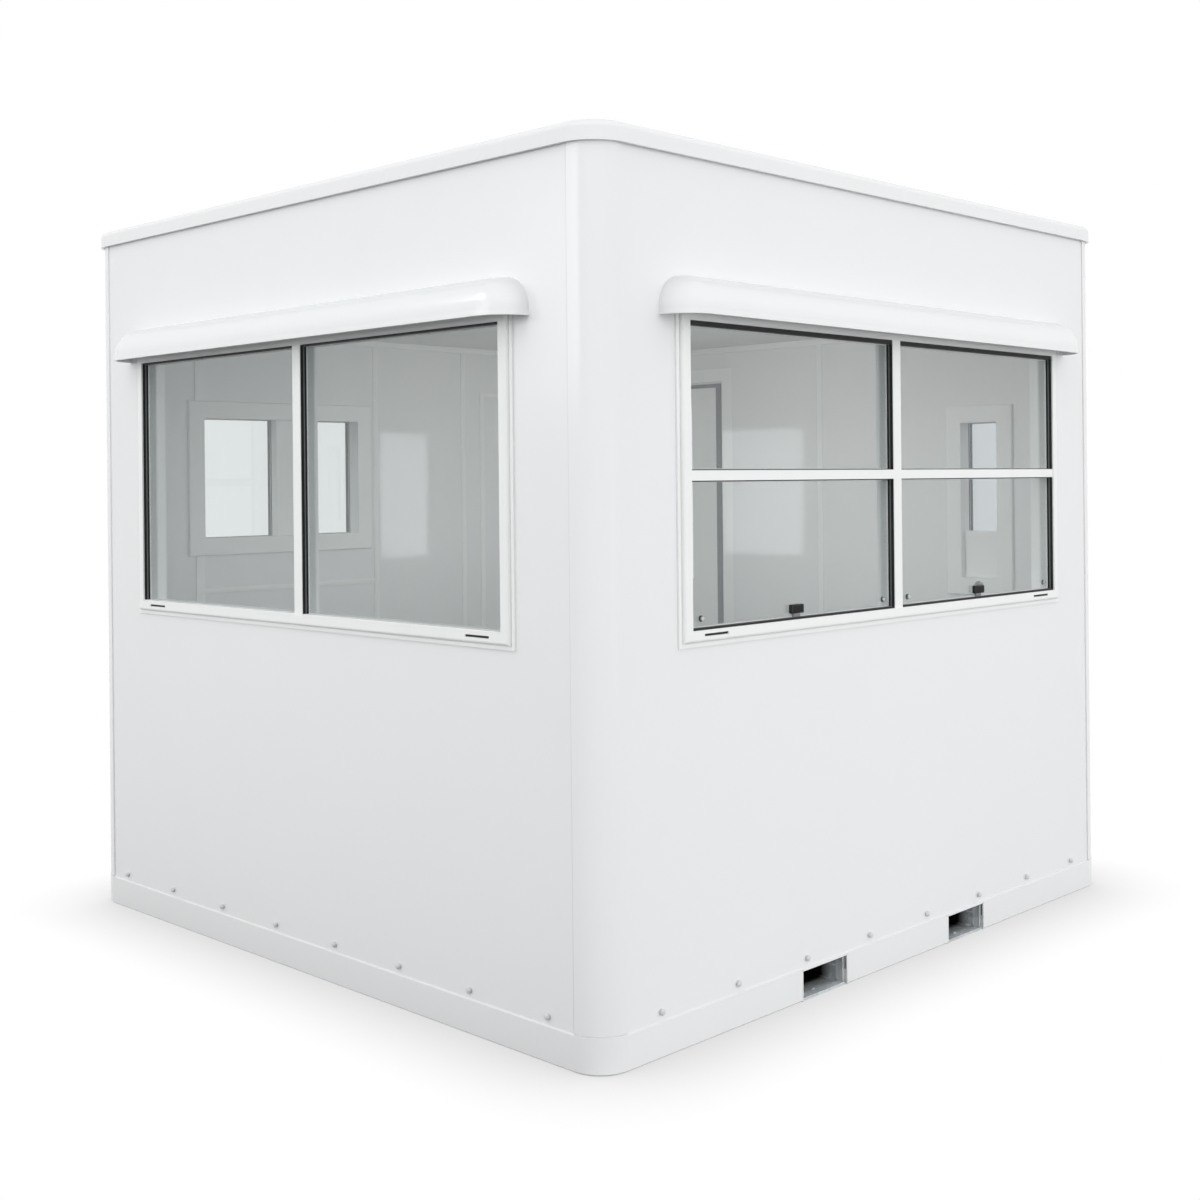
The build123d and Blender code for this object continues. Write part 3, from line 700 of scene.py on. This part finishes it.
# %% Channels, beads and linings round the panes
MULLION_WIDTH = 40.0
TRANSOM_HEIGHT = 27.0
SEAL_THICKNESS = 2.0
FIN_DEPTHS = (-2.5, 1.0)
FIN_THICKNESS = 1.0
BEAD_DEPTHS = (8.6, 10.9)
BEAD_THICKNESS = 2.2
LINING_DEPTHS = (16.3, 49.8)
CASING_DEPTHS = (50.2, 73.8)
LINING_THICKNESS = 1.0
WINDOW_SHAPES = {
    "front": {"columns": 2, "rows": 2, "head_seal": 12.0, "sill_seal": 5.0},
    "left": {"columns": 2, "rows": 1, "head_seal": 5.0, "sill_seal": SEAL_THICKNESS},
    "back": {"columns": 2, "rows": 1, "head_seal": SEAL_THICKNESS, "sill_seal": SEAL_THICKNESS},
    "right": {"columns": 1, "rows": 1, "head_seal": SEAL_THICKNESS, "sill_seal": SEAL_THICKNESS},
}


def pane_edges(wall):
    """Left, right, bottom and top of each pane, and the thickness of its bottom and top seal."""
    shape = WINDOW_SHAPES[wall]
    low, high = wall_box(wall, wall + "_window_seals")
    width = (high.x - low.x - (shape["columns"] - 1) * MULLION_WIDTH) / shape["columns"]
    height = (high.z - low.z - (shape["rows"] - 1) * TRANSOM_HEIGHT) / shape["rows"]
    for row in range(shape["rows"]):
        z = low.z + row * (height + TRANSOM_HEIGHT)
        foot = shape["sill_seal"] if row == 0 else SEAL_THICKNESS
        top = shape["head_seal"] if row == shape["rows"] - 1 else SEAL_THICKNESS
        for column in range(shape["columns"]):
            x = low.x + column * (width + MULLION_WIDTH)
            yield x, x + width, z, z + height, foot, top


for wall in WINDOW_SHAPES:
    fins = []
    beads = []
    linings = []
    for x0, x1, z0, z1, foot, top in pane_edges(wall):
        clear_edges = (x0 + SEAL_THICKNESS, x1 - SEAL_THICKNESS, z0 + foot, z1 - top)
        fins.append(sleeve(clear_edges, FIN_DEPTHS, FIN_THICKNESS))
        beads.append(sleeve(clear_edges, BEAD_DEPTHS, BEAD_THICKNESS))
        linings.append(sleeve((x0, x1, z0, z1), LINING_DEPTHS, LINING_THICKNESS))
    low, high = wall_box(wall, wall + "_window_seals")
    linings.append(sleeve((low.x, high.x, low.z, high.z), CASING_DEPTHS, LINING_THICKNESS))
    for kind, parts, slot, finish in (("channel_fins", fins, "threshold", mouldings["track_grey"]),
                                      ("glass_beads", beads, "frame", None),
                                      ("frame_linings", linings, "frame", mouldings["reveal_white"])):
        hand_in(repeat(gather(parts), [walls[wall]]), wall + "_" + kind, slot, finish)

# %% [markdown]
# ## Sill noses of the left window
# On the left window a white nose lies over the black channel along the sill, so that only a thin dark
# line is left between it and the glass. Its rounded edge catches the light.

# %% Sill noses of the left window
NOSE_BEFORE_SEAL = 1.0
NOSE_BEFORE_GLASS = 3.0
NOSE_OVER_SEAL = 1.5
NOSE_ROUND = 0.9

seal_low, seal_high = wall_box("left", "left_window_seals")
noses = []
for x0, x1, z0, _, foot, _ in pane_edges("left"):
    nose = start_box((x0, seal_low.y - NOSE_BEFORE_SEAL, z0),
                     (x1, seal_high.y - NOSE_BEFORE_GLASS, z0 + foot + NOSE_OVER_SEAL))
    noses.append(soften(nose, NOSE_ROUND))
hand_in(repeat(gather(noses), [walls["left"]]), "left_sill_noses", "frame")

# %% [markdown]
# ## Pane latches and studs
# The lower front panes slide. Each has a ribbed black finger latch on a short stem and a polished stud
# in each bottom corner. The ribbed latch stands in for the plain one among the solids.

# %% Pane latches and studs
LATCH_WIDTH = 56.0
LATCH_SETBACK = 1.0
LATCH_ROUND = 3.5
LATCH_ROUND_SEGMENTS = 3
LATCH_RIBS = 13
LATCH_RIB_PITCH = 3.4
LATCH_RIB_WIDTH = 1.8
LATCH_RIB_PROUD = 0.2
LATCH_RIB_SEATED = 2.0
LATCH_RIB_END = 3.0
LATCH_RIB_ROUND = 0.5
STEM_HEIGHT = 10.0
STEM_WIDTH = 30.0
STEM_DEPTH = 8.0
STEM_ROUND = 1.5
STUD_RADIUS = 6.5
STUD_LENGTH = 7.0
STUD_DOME_STEPS = ((1.2, 0.8),)
STUD_ROUND = 0.6
STUD_WASHER_RADIUS = 8.2
STUD_WASHER_LENGTH = 1.6
STUD_WASHER_ROUND = 0.5
STUD_FROM_LEFT = 60.0
STUD_FROM_RIGHT = 32.0
STUD_LEVEL = 27.0

latch_low, latch_high = wall_box("front", "front_window_latches")
glass_front = latch_high.y
latch_places = [walls["front"] @ shift(x, 0, 0)
                for x in (latch_low.x + LATCH_WIDTH / 2, latch_high.x - LATCH_WIDTH / 2)]
shoulder = latch_low.z + STEM_HEIGHT
grip = start_box((-LATCH_WIDTH / 2, latch_low.y + LATCH_SETBACK, shoulder),
                 (LATCH_WIDTH / 2, glass_front, latch_high.z))
soften(grip, LATCH_ROUND, LATCH_ROUND_SEGMENTS)
rib = start_box((-LATCH_RIB_WIDTH / 2, latch_low.y - LATCH_RIB_PROUD, shoulder + LATCH_RIB_END),
                (LATCH_RIB_WIDTH / 2, latch_low.y + LATCH_RIB_SEATED, latch_high.z - LATCH_RIB_END))
soften(rib, LATCH_RIB_ROUND)
ribs = repeat(rib, [shift(x, 0, 0) for x in spaced(LATCH_RIBS, LATCH_RIB_PITCH)])
latch = repeat(gather([grip, ribs]), latch_places)
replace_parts(hand_in(latch, "ribbed_latches", "black_plastic"), "front_window_latches")
stem = start_box((-STEM_WIDTH / 2, glass_front - STEM_DEPTH, latch_low.z),
                 (STEM_WIDTH / 2, glass_front, shoulder))
soften(stem, STEM_ROUND)
hand_in(repeat(stem, latch_places), "latch_stems", "stainless", mouldings["seal_grey"])

stud_places = []
for x0, x1, z0, _, _, _ in list(pane_edges("front"))[:WINDOW_SHAPES["front"]["columns"]]:
    for x in (x0 + STUD_FROM_LEFT, x1 - STUD_FROM_RIGHT):
        stud_places.append(walls["front"] @ shift(x, glass_front, z0 + STUD_LEVEL))
stud = start_bar(STUD_RADIUS, STUD_LENGTH, BOLT_SIDES)
dome(stud, STUD_DOME_STEPS)
soften(stud, STUD_ROUND)
hand_in(repeat(stud, stud_places), "glass_studs", "stainless")
washer = start_bar(STUD_WASHER_RADIUS, STUD_WASHER_LENGTH, BOLT_SIDES)
soften(washer, STUD_WASHER_ROUND)
hand_in(repeat(washer, stud_places), "stud_washers", "rubber")

# %% [markdown]
# ## Mouths of the fork pockets
# The skirt is turned in round each mouth, which shows as a white edge. Inside, a zinc plate with two
# button bolts and a raised lip covers the floor, and an angle stands against one side. They keep
# within about four millimetres of the steel, so a fork still passes. The tables give the lowest and highest
# corner of each piece, from the middle of the mouth at the ground.

# %% Mouths of the fork pockets
POCKET_HALF = 102.5
POCKET_FLOOR = 4.0
POCKET_TOP = 84.0
NOTCH_HALF = 106.5
NOTCH_FOOT = 0.5
NOTCH_TOP = 88.0
EDGE_FRONT = -5.0
EDGE_ROUND = 1.2
EDGE_CORNERS = {
    "left": ((-NOTCH_HALF, EDGE_FRONT, NOTCH_FOOT), (-POCKET_HALF, 0, NOTCH_TOP)),
    "right": ((POCKET_HALF, EDGE_FRONT, NOTCH_FOOT), (NOTCH_HALF, 0, NOTCH_TOP)),
    "top": ((-NOTCH_HALF, EDGE_FRONT, POCKET_TOP), (NOTCH_HALF, 0, NOTCH_TOP)),
}
PLATE_HALF = 100.0
PLATE_TOP = 5.6
ANGLE_END = 260.0
FITTING_CORNERS = {
    "plate": ((-PLATE_HALF, 2, POCKET_FLOOR), (PLATE_HALF, 56, PLATE_TOP)),
    "lip": ((-PLATE_HALF, 0.5, POCKET_FLOOR), (PLATE_HALF, 3.5, 8.0)),
    "angle_foot": ((94, 38, POCKET_FLOOR), (POCKET_HALF, ANGLE_END, 7.5)),
    "bracket": ((98.6, 9, PLATE_TOP), (POCKET_HALF, 34, 80)),
    "fold": ((99.6, 34, 46), (POCKET_HALF, ANGLE_END, 52)),
}
FITTING_ROUND = 0.7
BRACKET_RIM = 4.0
BRACKET_DISH = 1.6
BUTTON_RADIUS = 6.0
BUTTON_HEIGHT = 2.2
BUTTON_DOME_STEPS = ((0.6, 0.7),)
BUTTON_LEVEL = 5.4
BUTTON_PLACES = ((-62, 30), (-8, 36))
SHADOW_GAP_CORNERS = ((101.4, 0.8, 44), (POCKET_HALF, 3.6, 82))
SHADOW_GAP_ROUND = 0.5

edges = [soften(start_box(*corners), EDGE_ROUND) for corners in EDGE_CORNERS.values()]
fittings = {name: start_box(*corners) for name, corners in FITTING_CORNERS.items()}
dish(fittings["bracket"], (-1, 0, 0), BRACKET_RIM, BRACKET_DISH)
for part in fittings.values():
    soften(part, FITTING_ROUND)
button = start_bar(BUTTON_RADIUS, BUTTON_HEIGHT, BOLT_SIDES)
dome(button, BUTTON_DOME_STEPS)
buttons = repeat(button, [shift(x, y, BUTTON_LEVEL) @ turned(-90, "X") for x, y in BUTTON_PLACES])
# Painted shadow: a black box against the side wall stands for the dark slot beside the bracket.
shadow_gap = soften(start_box(*SHADOW_GAP_CORNERS), SHADOW_GAP_ROUND)
mouths = []
for node in ("fork_pocket_left", "fork_pocket_right"):
    low, high = wall_box("front", node)
    middle = shift((low.x + high.x) / 2, 0, 0)
    mouths += [walls["front"] @ middle, walls["back"] @ middle]
hand_in(repeat(gather(edges), mouths), "fork_mouth_edges", "shell")
hand_in(repeat(gather([*fittings.values(), buttons]), mouths), "fork_mouth_fittings", "galvanised")
hand_in(repeat(shadow_gap, mouths), "fork_mouth_painted_shadows", "rubber")

# %% [markdown]
# ## Joints of the inner lining
# Through the glass the inner walls show the cover strips over the joints of their panels, and a small
# cove where they meet the ceiling. They are drawn straight in the frame of the booth.

# %% Joints of the inner lining
STRIP_WIDTH = 24.0
STRIP_PROUD = 3.0
STRIP_ROUND = 1.2
BACK_JOINTS = (-100.0, 360.0)
WIDE_STRIP = (-917.0, -883.0)
DADO_LEVELS = (1050.0, 1070.0)
PANEL_JOINT = 465.0
PANEL_END = 1170.0
PANEL_HEAD_LEVELS = (1816.0, 1832.0)
RIGHT_JOINT = -60.0
COVE_DROP = 24.0
COVE_DEPTH = 14.0
COVE_END = 34.0

inner_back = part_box("back_wall")[0].y / MM
inner_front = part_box("front_wall")[1].y / MM
inner_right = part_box("right_wall")[0].x / MM
inner_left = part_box("left_wall")[1].x / MM
room_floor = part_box("floor_panel")[1].z / MM
room_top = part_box("ceiling_panel")[0].z / MM
casing_low, casing_high = [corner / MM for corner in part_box("back_window_frame")]
strips = []


def back_strip(x0, x1, z0, z1, proud=STRIP_PROUD):
    """Add a strip on the inside of the back wall."""
    strips.append(((x0, inner_back - proud, z0), (x1, inner_back, z1)))


for x in BACK_JOINTS:
    back_strip(x - STRIP_WIDTH / 2, x + STRIP_WIDTH / 2, room_floor, room_top)
for z0, z1 in ((room_floor, casing_low.z), (casing_high.z, room_top)):
    back_strip(*WIDE_STRIP, z0, z1, 2 * STRIP_PROUD)
back_strip(WIDE_STRIP[1], BACK_JOINTS[0] - STRIP_WIDTH / 2, *DADO_LEVELS)
panel_side = PANEL_JOINT + STRIP_WIDTH / 2
back_strip(PANEL_JOINT - STRIP_WIDTH / 2, panel_side, room_floor, PANEL_HEAD_LEVELS[1])
back_strip(panel_side, PANEL_END, *PANEL_HEAD_LEVELS)
strips.append(((inner_right - STRIP_PROUD, RIGHT_JOINT - STRIP_WIDTH / 2, room_floor),
               (inner_right, RIGHT_JOINT + STRIP_WIDTH / 2, room_top)))
cove_foot = room_top - COVE_DROP
for y0, y1 in ((inner_front, inner_front + COVE_DEPTH), (inner_back - COVE_DEPTH, inner_back)):
    strips.append(((inner_left + COVE_END, y0, cove_foot), (inner_right - COVE_END, y1, room_top)))
for x0, x1 in ((inner_left, inner_left + COVE_DEPTH), (inner_right - COVE_DEPTH, inner_right)):
    strips.append(((x0, inner_front + COVE_END, cove_foot), (x1, inner_back - COVE_END, room_top)))
strip_parts = [soften(start_box(low, high), STRIP_ROUND) for low, high in strips]
hand_in(gather(strip_parts), "lining_strips", "lining", mouldings["reveal_white"])

# %% [markdown]
# ## Inside catch and threshold
# The narrow window has a small catch on its sill, a body with a tongue over it, and the threshold under
# the door is ribbed for grip. The catch's corners are measured from the middle of the sill.

# %% Inside catch and threshold
CATCH_BACK = 74.0
CATCH_CORNERS = {
    "body": ((-15, CATCH_BACK, -24), (15, CATCH_BACK + 9, -14)),
    "tongue": ((-5, CATCH_BACK + 2, -15), (5, CATCH_BACK + 16, -9)),
}
CATCH_ROUND = 1.5
TREAD_PITCH = 9.0
TREADS = 4
TREAD_WIDTH = 3.0
TREAD_END_GAP = 12.0
TREAD_SEATED = 0.5
TREAD_PROUD = 1.2
TREAD_ROUND = 0.6

narrow_low, narrow_high = wall_box("right", "right_window_seals")
catch_place = walls["right"] @ shift((narrow_low.x + narrow_high.x) / 2, 0, narrow_low.z)
catch_parts = [soften(start_box(*corners), CATCH_ROUND) for corners in CATCH_CORNERS.values()]
hand_in(repeat(gather(catch_parts), [catch_place]), "narrow_window_catch", "stainless")
sill_low, sill_high = [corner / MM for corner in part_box("door_threshold")]
sill_middle = (sill_low.x + sill_high.x) / 2
tread = start_box((-TREAD_WIDTH / 2, sill_low.y + TREAD_END_GAP, sill_high.z - TREAD_SEATED),
                  (TREAD_WIDTH / 2, sill_high.y - TREAD_END_GAP, sill_high.z + TREAD_PROUD))
soften(tread, TREAD_ROUND)
tread_places = [shift(sill_middle + x, 0, 0) for x in spaced(TREADS, TREAD_PITCH)]
hand_in(repeat(tread, tread_places), "threshold_ribs", "threshold")

# %% [markdown]
# ## Sash stile of the back window
# The back window slides as well. The stile of its inner sash stands beside the mullion, just behind the
# glass, and makes the mullion look twice as wide from inside. A shallow groove runs down the stile.

# %% Sash stile of the back window
STILE_WIDTH = 57.0
STILE_DEPTHS = (18.0, 46.0)
STILE_END_GAP = 1.2
STILE_SEATED = 0.5
STILE_GROOVE_BORDER = 12.0
STILE_GROOVE_DEPTH = 3.0
STILE_ROUND = 1.5

_, stile_side, stile_foot, stile_head, _, _ = next(pane_edges("back"))
stile_edge = stile_side - LINING_THICKNESS + STILE_SEATED
stile = start_box((stile_edge - STILE_WIDTH, STILE_DEPTHS[0], stile_foot + STILE_END_GAP),
                  (stile_edge, STILE_DEPTHS[1], stile_head - STILE_END_GAP))
dish(stile, INWARDS, STILE_GROOVE_BORDER, STILE_GROOVE_DEPTH)
soften(stile, STILE_ROUND)
hand_in(repeat(stile, [walls["back"]]), "back_window_stile", "frame")

# %% [markdown]
# ## Apron of the narrow window and seals of the door
# A white board closes the foot of the narrow window. Inside, the door leaf carries a grey seal along its
# hinge side, its head and its lock side, clear of the stops, and these seals swing with the leaf.

# %% Apron of the narrow window and seals of the door
APRON_HEIGHT = 176.0
APRON_DEPTHS = (17.0, 48.0)
APRON_GAP = 1.2
APRON_RIM = 14.0
APRON_DISH = 4.0
APRON_ROUND = 2.0
SEAL_PROUD = 4.0
SEAL_SEATED = 0.5
SEAL_FOOT = 30.0
SEAL_ROUND = 1.5
SEAL_ROUND_SEGMENTS = 3
HEAD_SEAL = (1852.0, 1868.0)
HINGE_SEAL = (484.0, 514.0)
LOCK_SEAL = (1064.0, 1083.0)

apron = start_box((narrow_low.x + APRON_GAP, APRON_DEPTHS[0], narrow_low.z + APRON_GAP),
                  (narrow_high.x - APRON_GAP, APRON_DEPTHS[1], narrow_low.z + APRON_HEIGHT))
dish(apron, INWARDS, APRON_RIM, APRON_DISH)
soften(apron, APRON_ROUND)
hand_in(repeat(apron, [walls["right"]]), "narrow_window_apron", "frame")
leaf_low, _ = [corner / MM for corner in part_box("door_leaf")]
upright = (leaf_low.z + SEAL_FOOT, HEAD_SEAL[1])
head_width = (HINGE_SEAL[1], LOCK_SEAL[0])
door_seals = []
for (y0, y1), (z0, z1) in ((HINGE_SEAL, upright), (LOCK_SEAL, upright), (head_width, HEAD_SEAL)):
    seal = start_box((leaf_low.x - SEAL_PROUD, y0, z0), (leaf_low.x + SEAL_SEATED, y1, z1))
    door_seals.append(soften(seal, SEAL_ROUND, SEAL_ROUND_SEGMENTS))
hand_in(gather(door_seals), "door_inner_seals", "rubber", mouldings["seal_grey"], "door")

# %% [markdown]
# ## Floor
# The booth stands on a white studio floor. Where the eye, a reflection or the glass looks at it, it glows
# white, and an occlusion node darkens that glow close to the skirt as a painted contact shadow. As a light
# it is grey paper, so that the feet of white walls don't burn out, and beside the left wall it is a darker
# grey, as painted shade for the weaker studio light on that side.

# %% Floor
FLOOR_SIZE = 60.0
FLOOR_BOUNCE = "#959595"
FLOOR_BOUNCE_LEFT_SHADE = "#484848"
LEFT_SHADE_REACH = 1.1
FLOOR_CONTACT_SHADOW_GLOW = 0.72
FLOOR_CONTACT_OPEN_SHARE = 0.45
FLOOR_SHADE_REACH = 0.34
FLOOR_SHADE_SAMPLES = 16


def eye_rays(tree):
    """One for rays that look at the background: from the eye, a reflection or through glass."""
    path = add_node(tree, "ShaderNodeLightPath").outputs
    seen = work_out(tree, "MAXIMUM", path["Is Camera Ray"], path["Is Glossy Ray"])
    return work_out(tree, "MAXIMUM", seen, path["Is Transmission Ray"])


def studio_floor():
    """White paper that glows for the eye with a painted contact shadow, and is grey as a light with painted
    shade beside the left wall.
    """
    material, tree, place = start_material("studio_floor")
    # Painted contact shadow: occlusion darkens the glow close to the skirt.
    shade = add_node(tree, "ShaderNodeAmbientOcclusion", {"Distance": FLOOR_SHADE_REACH},
                     samples=FLOOR_SHADE_SAMPLES)
    strength = add_node(tree, "ShaderNodeMapRange",
                        {"Value": shade.outputs["AO"], "From Min": FLOOR_CONTACT_OPEN_SHARE,
                         "To Min": FLOOR_CONTACT_SHADOW_GLOW})
    glow = add_node(tree, "ShaderNodeEmission", {"Strength": strength.outputs["Result"]})
    # Painted shade: as a light the floor is darker beside the left wall.
    wall_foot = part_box("left_skirt")[0].x
    across = axis_value(tree, place, "X")
    near = ramp(tree, across, (wall_foot - LEFT_SHADE_REACH, wall_foot))
    left_shade_share = work_out(tree, "MULTIPLY", near, work_out(tree, "LESS_THAN", across, wall_foot))
    bounce = blend(tree, left_shade_share, FLOOR_BOUNCE, FLOOR_BOUNCE_LEFT_SHADE)
    paper = add_node(tree, "ShaderNodeBsdfDiffuse", {"Color": bounce})
    finish_material(tree, either(tree, eye_rays(tree), paper.outputs["BSDF"], glow.outputs["Emission"]))
    return material


bpy.ops.object.select_all(action="DESELECT")
bpy.ops.mesh.primitive_plane_add(size=FLOOR_SIZE, location=(0, 0, 0))
floor = bpy.context.object
floor.name = "studio_floor"
floor.data.materials.append(studio_floor())
print("floor:", FLOOR_SIZE, "m wide")

# %% [markdown]
# ## Sky and lamps
# The world is white where the eye looks at it. As a light it is brighter at the horizon than overhead,
# as between white studio walls. Wide screens light the left wall from high up and the front wall from
# low down. Two more lamps only show as reflections in the pieces that their table names, because a
# white surface without a bright thing to mirror looks like paper. A warm lamp fills the room, and two
# weak ones paint the patches of daylight on its walls. Small hard lamps would throw shadows that a studio
# of white screens doesn't have.

# %% Sky and lamps
PURE_WHITE = "#FFFFFF"
WARM_WHITE = "#FFFCF8"
SKY_AT_HORIZON = 1.46
SKY_AT_ZENITH = 0.63
BACKDROP_STRENGTH = 1.0
MIRRORING_WALLS = ("left_wall", "left_hood", "corner_post_front_left", "front_wall")
LAMPS = {
    "left_screen": {"place": (-8.0, 0.95, 3.0), "aim": (-1.2, 0.95, 2.4),
                    "size": (4.1, 1.8), "watts": 60.0},
    "left_high_screen": {"place": (-5.0, -1.6, 6.3), "aim": (-1.2, -0.4, 1.8),
                         "size": (4.0, 4.0), "watts": 44.0},
    "front_screen": {"place": (1.4, -7.4, 2.8), "aim": (0.0, -1.2, 1.2),
                     "size": (4.5, 4.5), "watts": 32.0},
    "front_low_screen": {"place": (-0.4, -7.0, 0.9), "aim": (-0.5, -1.2, 0.5),
                         "size": (1.6, 1.6), "watts": 54.0},
    "mirrored_screen": {"place": (-8.0, 2.6, 3.1), "aim": (-1.2, 2.6, 3.1),
                        "size": (7.4, 2.0), "watts": 92.0, "mirrored_in": MIRRORING_WALLS},
    "hood_spark": {"place": (-3.27, 0.65, 3.61), "aim": (-1.36, -0.92, 1.91),
                   "size": (1.9, 0.9), "watts": 21.0, "mirrored_in": ("left_hood",)},
    "room_fill": {"place": (-0.15, -0.4, 1.7), "aim": (1.0, 0.35, 1.3),
                  "size": (0.8, 0.8), "watts": 6.8, "tint": WARM_WHITE},
    "right_wall_glow": {"place": (1.06, 0.25, 1.40), "aim": (1.2, 0.25, 1.40),
                        "size": (0.44, 0.52), "watts": 0.13, "spread_degrees": 20.0},
    "back_wall_glow": {"place": (0.045, 1.03, 1.40), "aim": (0.045, 1.18, 1.40),
                       "size": (0.24, 0.50), "watts": 0.068, "spread_degrees": 20.0},
}


def screen_lamp(name, place, aim, size, watts, mirrored_in=(), spread_degrees=180.0, tint=PURE_WHITE):
    """A wide lamp that looks at a point. A mirrored one only shows as a reflection in the named nodes."""
    bpy.ops.object.select_all(action="DESELECT")
    bpy.ops.object.light_add(type="AREA", location=place)
    lamp = bpy.context.object
    lamp.name = name
    lamp.data.shape = "RECTANGLE"
    lamp.data.size, lamp.data.size_y = size
    lamp.data.spread = math.radians(spread_degrees)
    lamp.data.energy = watts
    lamp.data.color = linear(tint)[:3]
    lamp.visible_camera = False
    lamp.visible_glossy = bool(mirrored_in)
    lamp.visible_diffuse = not mirrored_in
    lamp.visible_transmission = False
    lamp.rotation_euler = (Vector(aim) - Vector(place)).to_track_quat("-Z", "Y").to_euler()
    if mirrored_in:
        lamp.light_linking.receiver_collection = bpy.data.collections.new(name)
        for node in mirrored_in:
            lamp.light_linking.receiver_collection.objects.link(nodes[node])


world = bpy.context.scene.world or bpy.data.worlds.new("studio")
bpy.context.scene.world = world
world.use_nodes = True
sky = world.node_tree
sky.nodes.clear()
direction = add_node(sky, "ShaderNodeTexCoord").outputs["Generated"]
fade = spread(sky, axis_value(sky, direction, "Z"), (SKY_AT_HORIZON, SKY_AT_ZENITH))
lighting = add_node(sky, "ShaderNodeBackground", {"Color": linear(PURE_WHITE), "Strength": fade})
backdrop = add_node(sky, "ShaderNodeBackground", {"Color": linear(PURE_WHITE), "Strength": BACKDROP_STRENGTH})
mixed = either(sky, eye_rays(sky), lighting.outputs["Background"], backdrop.outputs["Background"])
add_node(sky, "ShaderNodeOutputWorld", {"Surface": mixed})
for lamp_name, lamp_values in LAMPS.items():
    screen_lamp(lamp_name, **lamp_values)
print("sky and", len(LAMPS), "lamps")
